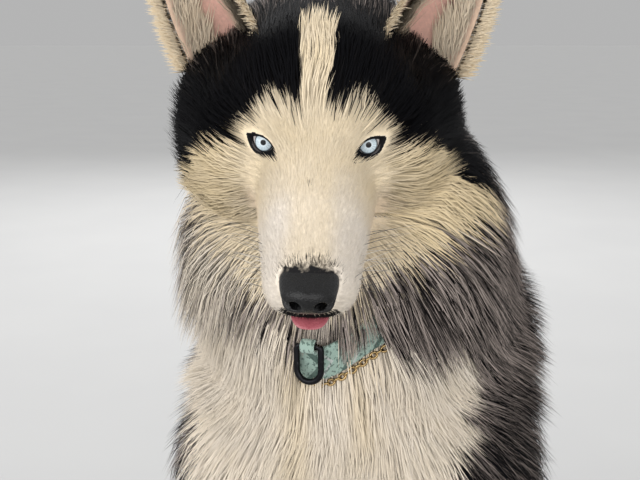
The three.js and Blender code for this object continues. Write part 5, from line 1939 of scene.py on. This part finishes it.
def chain_tree():
    """Links set along a closed line, each turned a quarter from the last."""
    tree = bpy.data.node_groups.new("chain_links", "GeometryNodeTree")
    kinds = {"Geometry": "Geometry", "Links": "Int", "Half Length": "Float", "Half Width": "Float",
             "Wire Radius": "Float", "Material": "Material"}
    for label, kind in kinds.items():
        tree.interface.new_socket(label, in_out="INPUT", socket_type=f"NodeSocket{kind}")
    tree.interface.new_socket("Geometry", in_out="OUTPUT", socket_type="NodeSocketGeometry")
    n = Nodes(tree)
    given, out = n.add("NodeGroupInput").outputs, n.add("NodeGroupOutput").inputs

    def made(kind, inputs, **settings):
        return n.add(f"GeometryNode{kind}", inputs, **settings).outputs[0]

    # Each link's turn: its length along the line, and flat or on edge to the neck.
    curve = made("MeshToCurve", {0: given["Geometry"]})
    count = {"Curve": curve, "Count": given["Links"]}
    spots = n.add("GeometryNodeCurveToPoints", count, mode="COUNT").outputs
    outward = made("InputNamedAttribute", {"Name": "outward"}, data_type="FLOAT_VECTOR")
    axes = {"Primary Axis": spots["Tangent"], "Secondary Axis": outward}
    facing = n.add("FunctionNodeAxesToRotation", axes, primary_axis="Z", secondary_axis="X").outputs[0]
    odd = n.math("MODULO", made("InputIndex", {}), 2.0)
    angle = n.math("ADD", n.math("MULTIPLY", odd, math.pi / 2), math.pi / 4)
    twist = n.add("FunctionNodeAxisAngleToRotation", {"Axis": (0.0, 0.0, 1.0), "Angle": angle}).outputs[0]
    turn = n.add("FunctionNodeRotateRotation", {0: facing, 1: twist}, rotation_space="LOCAL").outputs[0]

    # A link is a wire round an oval.
    circle = made("CurvePrimitiveCircle", {"Resolution": 12, "Radius": 1.0}, mode="RADIUS")
    scale = n.joined(given["Half Width"], given["Half Length"], 1.0)
    oval = made("Transform", {"Geometry": circle, "Scale": scale})
    upright = made("Transform", {"Geometry": oval, "Rotation": (math.pi / 2, 0.0, 0.0)})
    wire = made("CurvePrimitiveCircle", {"Resolution": 6, "Radius": given["Wire Radius"]}, mode="RADIUS")
    link = made("CurveToMesh", {"Curve": upright, "Profile Curve": wire})
    placed = made("InstanceOnPoints", {"Points": spots["Points"], "Instance": link, "Rotation": turn})
    real = made("RealizeInstances", {"Geometry": placed})
    n.link(made("SetMaterial", {"Geometry": real, "Material": given["Material"]}), out[0])
    return tree


def from_nodes(name, source, tree, values):
    """Runs a geometry node tree on an object, and keeps its result as a plain mesh."""
    modifier = source.modifiers.new("nodes", "NODES")
    modifier.node_group = tree
    for item in tree.interface.items_tree:
        if item.in_out == "INPUT" and item.name in values:
            modifier[item.identifier] = values[item.name]
    graph = bpy.context.evaluated_depsgraph_get()
    mesh = bpy.data.meshes.new_from_object(source.evaluated_get(graph))
    mesh.name = name
    source.modifiers.clear()
    bpy.data.objects.remove(source)
    piece = bpy.data.objects.new(name, mesh)
    bpy.context.scene.collection.objects.link(piece)
    return piece


RING_CORNER = 2.6


def ring_piece():
    """The ring: a straight bar above, with round corners, and half a circle below."""
    radius = (RING_WIDTH - RING_WIRE) / 2
    top, bottom = (RING_HEIGHT - RING_WIRE) / 2, radius - (RING_HEIGHT - RING_WIRE) / 2
    side, shoulder = radius - RING_CORNER, top - RING_CORNER
    arcs = (
        ((side, shoulder), RING_CORNER, (90, 0, 8)),
        ((0, bottom), radius, (0, -180, 28)),
        ((-side, shoulder), RING_CORNER, (180, 90, 8)),
    )
    path = [
        (x + size * math.cos(a), 0.0, z + size * math.sin(a))
        for (x, z), size, turn in arcs for a in np.radians(np.linspace(*turn))
    ]
    path += [(x, 0.0, top) for x in np.linspace(-side, side, 8)[1:-1]]
    rings = tube_rings(np.array(path) + RING_AT, RING_WIRE / 2, 14, up=(0, 1, 0), closed=True)
    black = metal_material("black_enamel", (0.018, 0.018, 0.020), (0.16, 0.16, 0.17), 0.3, 0.06)
    return solid_piece("d_ring", *closed_ring(rings), black)


def chain_piece():
    """The chain, from a closed line that knows which way is outward."""
    angles = np.linspace(0, 2 * math.pi, 240, endpoint=False)
    line = chain_line(angles)
    mesh = bpy.data.meshes.new("chain_line")
    mesh.from_pydata(place(line).tolist(), [(i, (i + 1) % len(line)) for i in range(len(line))], [])
    add_values(mesh, "outward", unit(chain_line(angles, CHAIN_OVER + 2) - line))
    source = bpy.data.objects.new("chain_line", mesh)
    bpy.context.scene.collection.objects.link(source)
    values = {
        "Links": sizes().chain_links, "Half Length": LINK_HALF_LENGTH, "Half Width": LINK_HALF_WIDTH,
        "Wire Radius": sizes().chain_wire,
        "Material": metal_material("chain_brass", tuple(colours().brass), (0.85, 0.72, 0.50), 0.28, 0.05),
    }
    chain = from_nodes("neck_chain", source, chain_tree(), values)
    chain.data.shade_smooth()
    return chain


class HUSKY_OT_chain(bpy.types.Operator):
    """Makes the ring that hangs on the collar, and the thin chain below the band"""

    bl_idname = "husky.chain"
    bl_label = "Ring and chain"

    def execute(self, context):
        finished(ring_piece(), "black_metal", "collar_ring")
        finished(chain_piece(), "chain_metal", "chain")
        return {"FINISHED"}


WHISKER_ROWS = ((-30, 5), (-36, 6), (-42, 5), (-47, 4))  # how high on the muzzle, and how many on each side
WHISKER_RADIUS = 0.22


def muzzle_height(points):
    return PARTS["head"].at(points)[0]


def whisker(side, row, height, k, rng):
    """One whisker, rooted on the muzzle and bent back and down."""
    y = -144 + 9 * k + 3 * (row % 2) + rng.uniform(-1, 1)
    spot = out_of(HEAD, [(side * 30.0, y, height)])
    for _ in range(6):
        spot = spot - slopes(spot, muzzle_height) * muzzle_height(spot)[:, None]
    out = slopes(spot, muzzle_height)[0]
    back, up = HEAD[:3, 1], HEAD[:3, 2]
    way = unit(out + back * rng.uniform(0.5, 0.9) + up * rng.uniform(-0.35, 0.05))
    length = rng.uniform(30, 46) * (0.8 + 0.1 * k)
    t = np.linspace(0, 1, 9)[:, None]
    path = spot[0] - out * 0.6 + way * length * t + (back * 0.35 - (0, 0, 0.42)) * length * t**2 * 0.55
    return closed_tube(tube_rings(path, WHISKER_RADIUS * (1 - 0.9 * t[:, 0]), 4))


class HUSKY_OT_whiskers(bpy.types.Operator):
    """Makes the whiskers of the muzzle"""

    bl_idname = "husky.whiskers"
    bl_label = "Whiskers"

    def execute(self, context):
        rng = np.random.default_rng(91)
        parts = [
            whisker(side, row, height, k, rng)
            for side, _ in SIDES for row, (height, count) in enumerate(WHISKER_ROWS) for k in range(count)
        ]
        material, n, shader = new_material("whisker", Roughness=0.35)
        share = n.ramp(n.noise(n.where(), 60.0), 0.42, 0.58)
        n.link(n.mix(share, (0.05, 0.05, 0.05, 1), (0.62, 0.57, 0.50, 1)), shader["Base Color"])
        finished(mesh_piece("whiskers", *merged(parts), material), "face_fur")
        return {"FINISHED"}


# The stage. The lights: where they stand, in metres, their power and their size.
LIGHTS = {
    "key": ((-1.5, -4.0, 1.9), 82, 3.4),
    "fill": ((2.3, -3.8, 1.2), 62, 3.4),
    "back": ((-1.5, 3.2, 2.9), 85, 2.2),
}
LIT_AT = (0.0, -200.0, 560.0)
WORLD_LIGHT = 0.98
BACKDROP = 0.54
WORLD_STRENGTH = 0.85
FLOOR_HALF = 60.0
FLOOR_DROP = 0.0005


def add_object(name, data, at=(0, 0, 0), look=None):
    """An object in the scene, which may look some way."""
    made = bpy.data.objects.new(name, data)
    made.location = at
    if look is not None:
        made.rotation_mode = "QUATERNION"
        made.rotation_quaternion = Vector(look).to_track_quat("-Z", "Y")
    bpy.context.scene.collection.objects.link(made)
    return made


def studio_world():
    """An even light that the camera sees as a grey backdrop."""
    world = bpy.data.worlds.new("studio")
    world.use_nodes = True
    n = Nodes(world.node_tree)
    backdrop = world.node_tree.nodes["Background"].inputs
    by_camera = n.add("ShaderNodeLightPath").outputs["Is Camera Ray"]
    n.link(n.mix(by_camera, grey(WORLD_LIGHT), grey(BACKDROP)), backdrop["Color"])
    backdrop["Strength"].default_value = WORLD_STRENGTH
    return world


def pale_floor():
    material, n, shader = new_material("pale_floor", Roughness=0.9)
    n.link(n.mix(n.noise(n.where(), 3.0), grey(0.50), (0.54, 0.54, 0.535, 1)), shader["Base Color"])
    mesh = bpy.data.meshes.new("floor")
    corners = [(x * FLOOR_HALF, y * FLOOR_HALF, -FLOOR_DROP) for x, y in ((-1, -1), (1, -1), (1, 1), (-1, 1))]
    mesh.from_pydata(corners, [], [(0, 1, 2, 3)])
    mesh.materials.append(material)
    return mesh


class HUSKY_OT_stage(bpy.types.Operator):
    """Sets the camera at the photograph's view, with a pale floor and soft light"""

    bl_idname = "husky.stage"
    bl_label = "Stage"

    def execute(self, context):
        scene = context.scene
        camera = bpy.data.cameras.new("camera")
        camera.sensor_width, camera.lens = SENSOR, LENS
        camera.clip_start, camera.clip_end = 0.05, 40.0
        scene.camera = add_object("camera", camera, place(VIEW_FROM), VIEW_LOOK)
        scene.world = studio_world()
        add_object("floor", pale_floor())
        scene.view_settings.view_transform = "Standard"
        for name, (at, power, size) in LIGHTS.items():
            light = bpy.data.lights.new(name, "AREA")
            light.energy, light.size = power, size
            add_object(name, light, at, place(LIT_AT) - at)
        return {"FINISHED"}


class HUSKY_PT_panel(bpy.types.Panel):
    """Shows the sizes and colours of the husky, and a button for each of its pieces"""

    bl_idname = "HUSKY_PT_panel"
    bl_label = "Husky"
    bl_space_type = "VIEW_3D"
    bl_region_type = "UI"
    bl_category = "Husky"

    def draw(self, context):
        layout = self.layout
        for group in (context.scene.husky_sizes, context.scene.husky_colours):
            for name in group.bl_rna.properties.keys():
                if name not in ("rna_type", "name"):
                    layout.prop(group, name)
        for operator in OPERATORS:
            layout.operator(operator.bl_idname)


OPERATORS = (
    HUSKY_OT_stage,
    HUSKY_OT_skin,
    HUSKY_OT_eyes,
    HUSKY_OT_nose,
    HUSKY_OT_claws,
    HUSKY_OT_collar,
    HUSKY_OT_chain,
    HUSKY_OT_whiskers,
    HUSKY_OT_face_coat,
    HUSKY_OT_long_coat,
    HUSKY_OT_leg_coat,
    HUSKY_OT_ear_coat,
)
CLASSES = (HuskySizes, HuskyColours, *OPERATORS, HUSKY_PT_panel)


def register():
    for cls in CLASSES:
        bpy.utils.register_class(cls)
    bpy.types.Scene.husky_sizes = PointerProperty(type=HuskySizes)
    bpy.types.Scene.husky_colours = PointerProperty(type=HuskyColours)


def unregister():
    del bpy.types.Scene.husky_colours
    del bpy.types.Scene.husky_sizes
    for cls in reversed(CLASSES):
        bpy.utils.unregister_class(cls)


def main():
    register()
    bpy.ops.husky.stage()
    bpy.ops.husky.skin()
    bpy.ops.husky.eyes()
    bpy.ops.husky.nose()
    bpy.ops.husky.claws()
    bpy.ops.husky.collar()
    bpy.ops.husky.chain()
    bpy.ops.husky.whiskers()
    bpy.ops.husky.face_coat()
    bpy.ops.husky.long_coat()
    bpy.ops.husky.leg_coat()
    bpy.ops.husky.ear_coat()


if __name__ == "__main__":
    main()
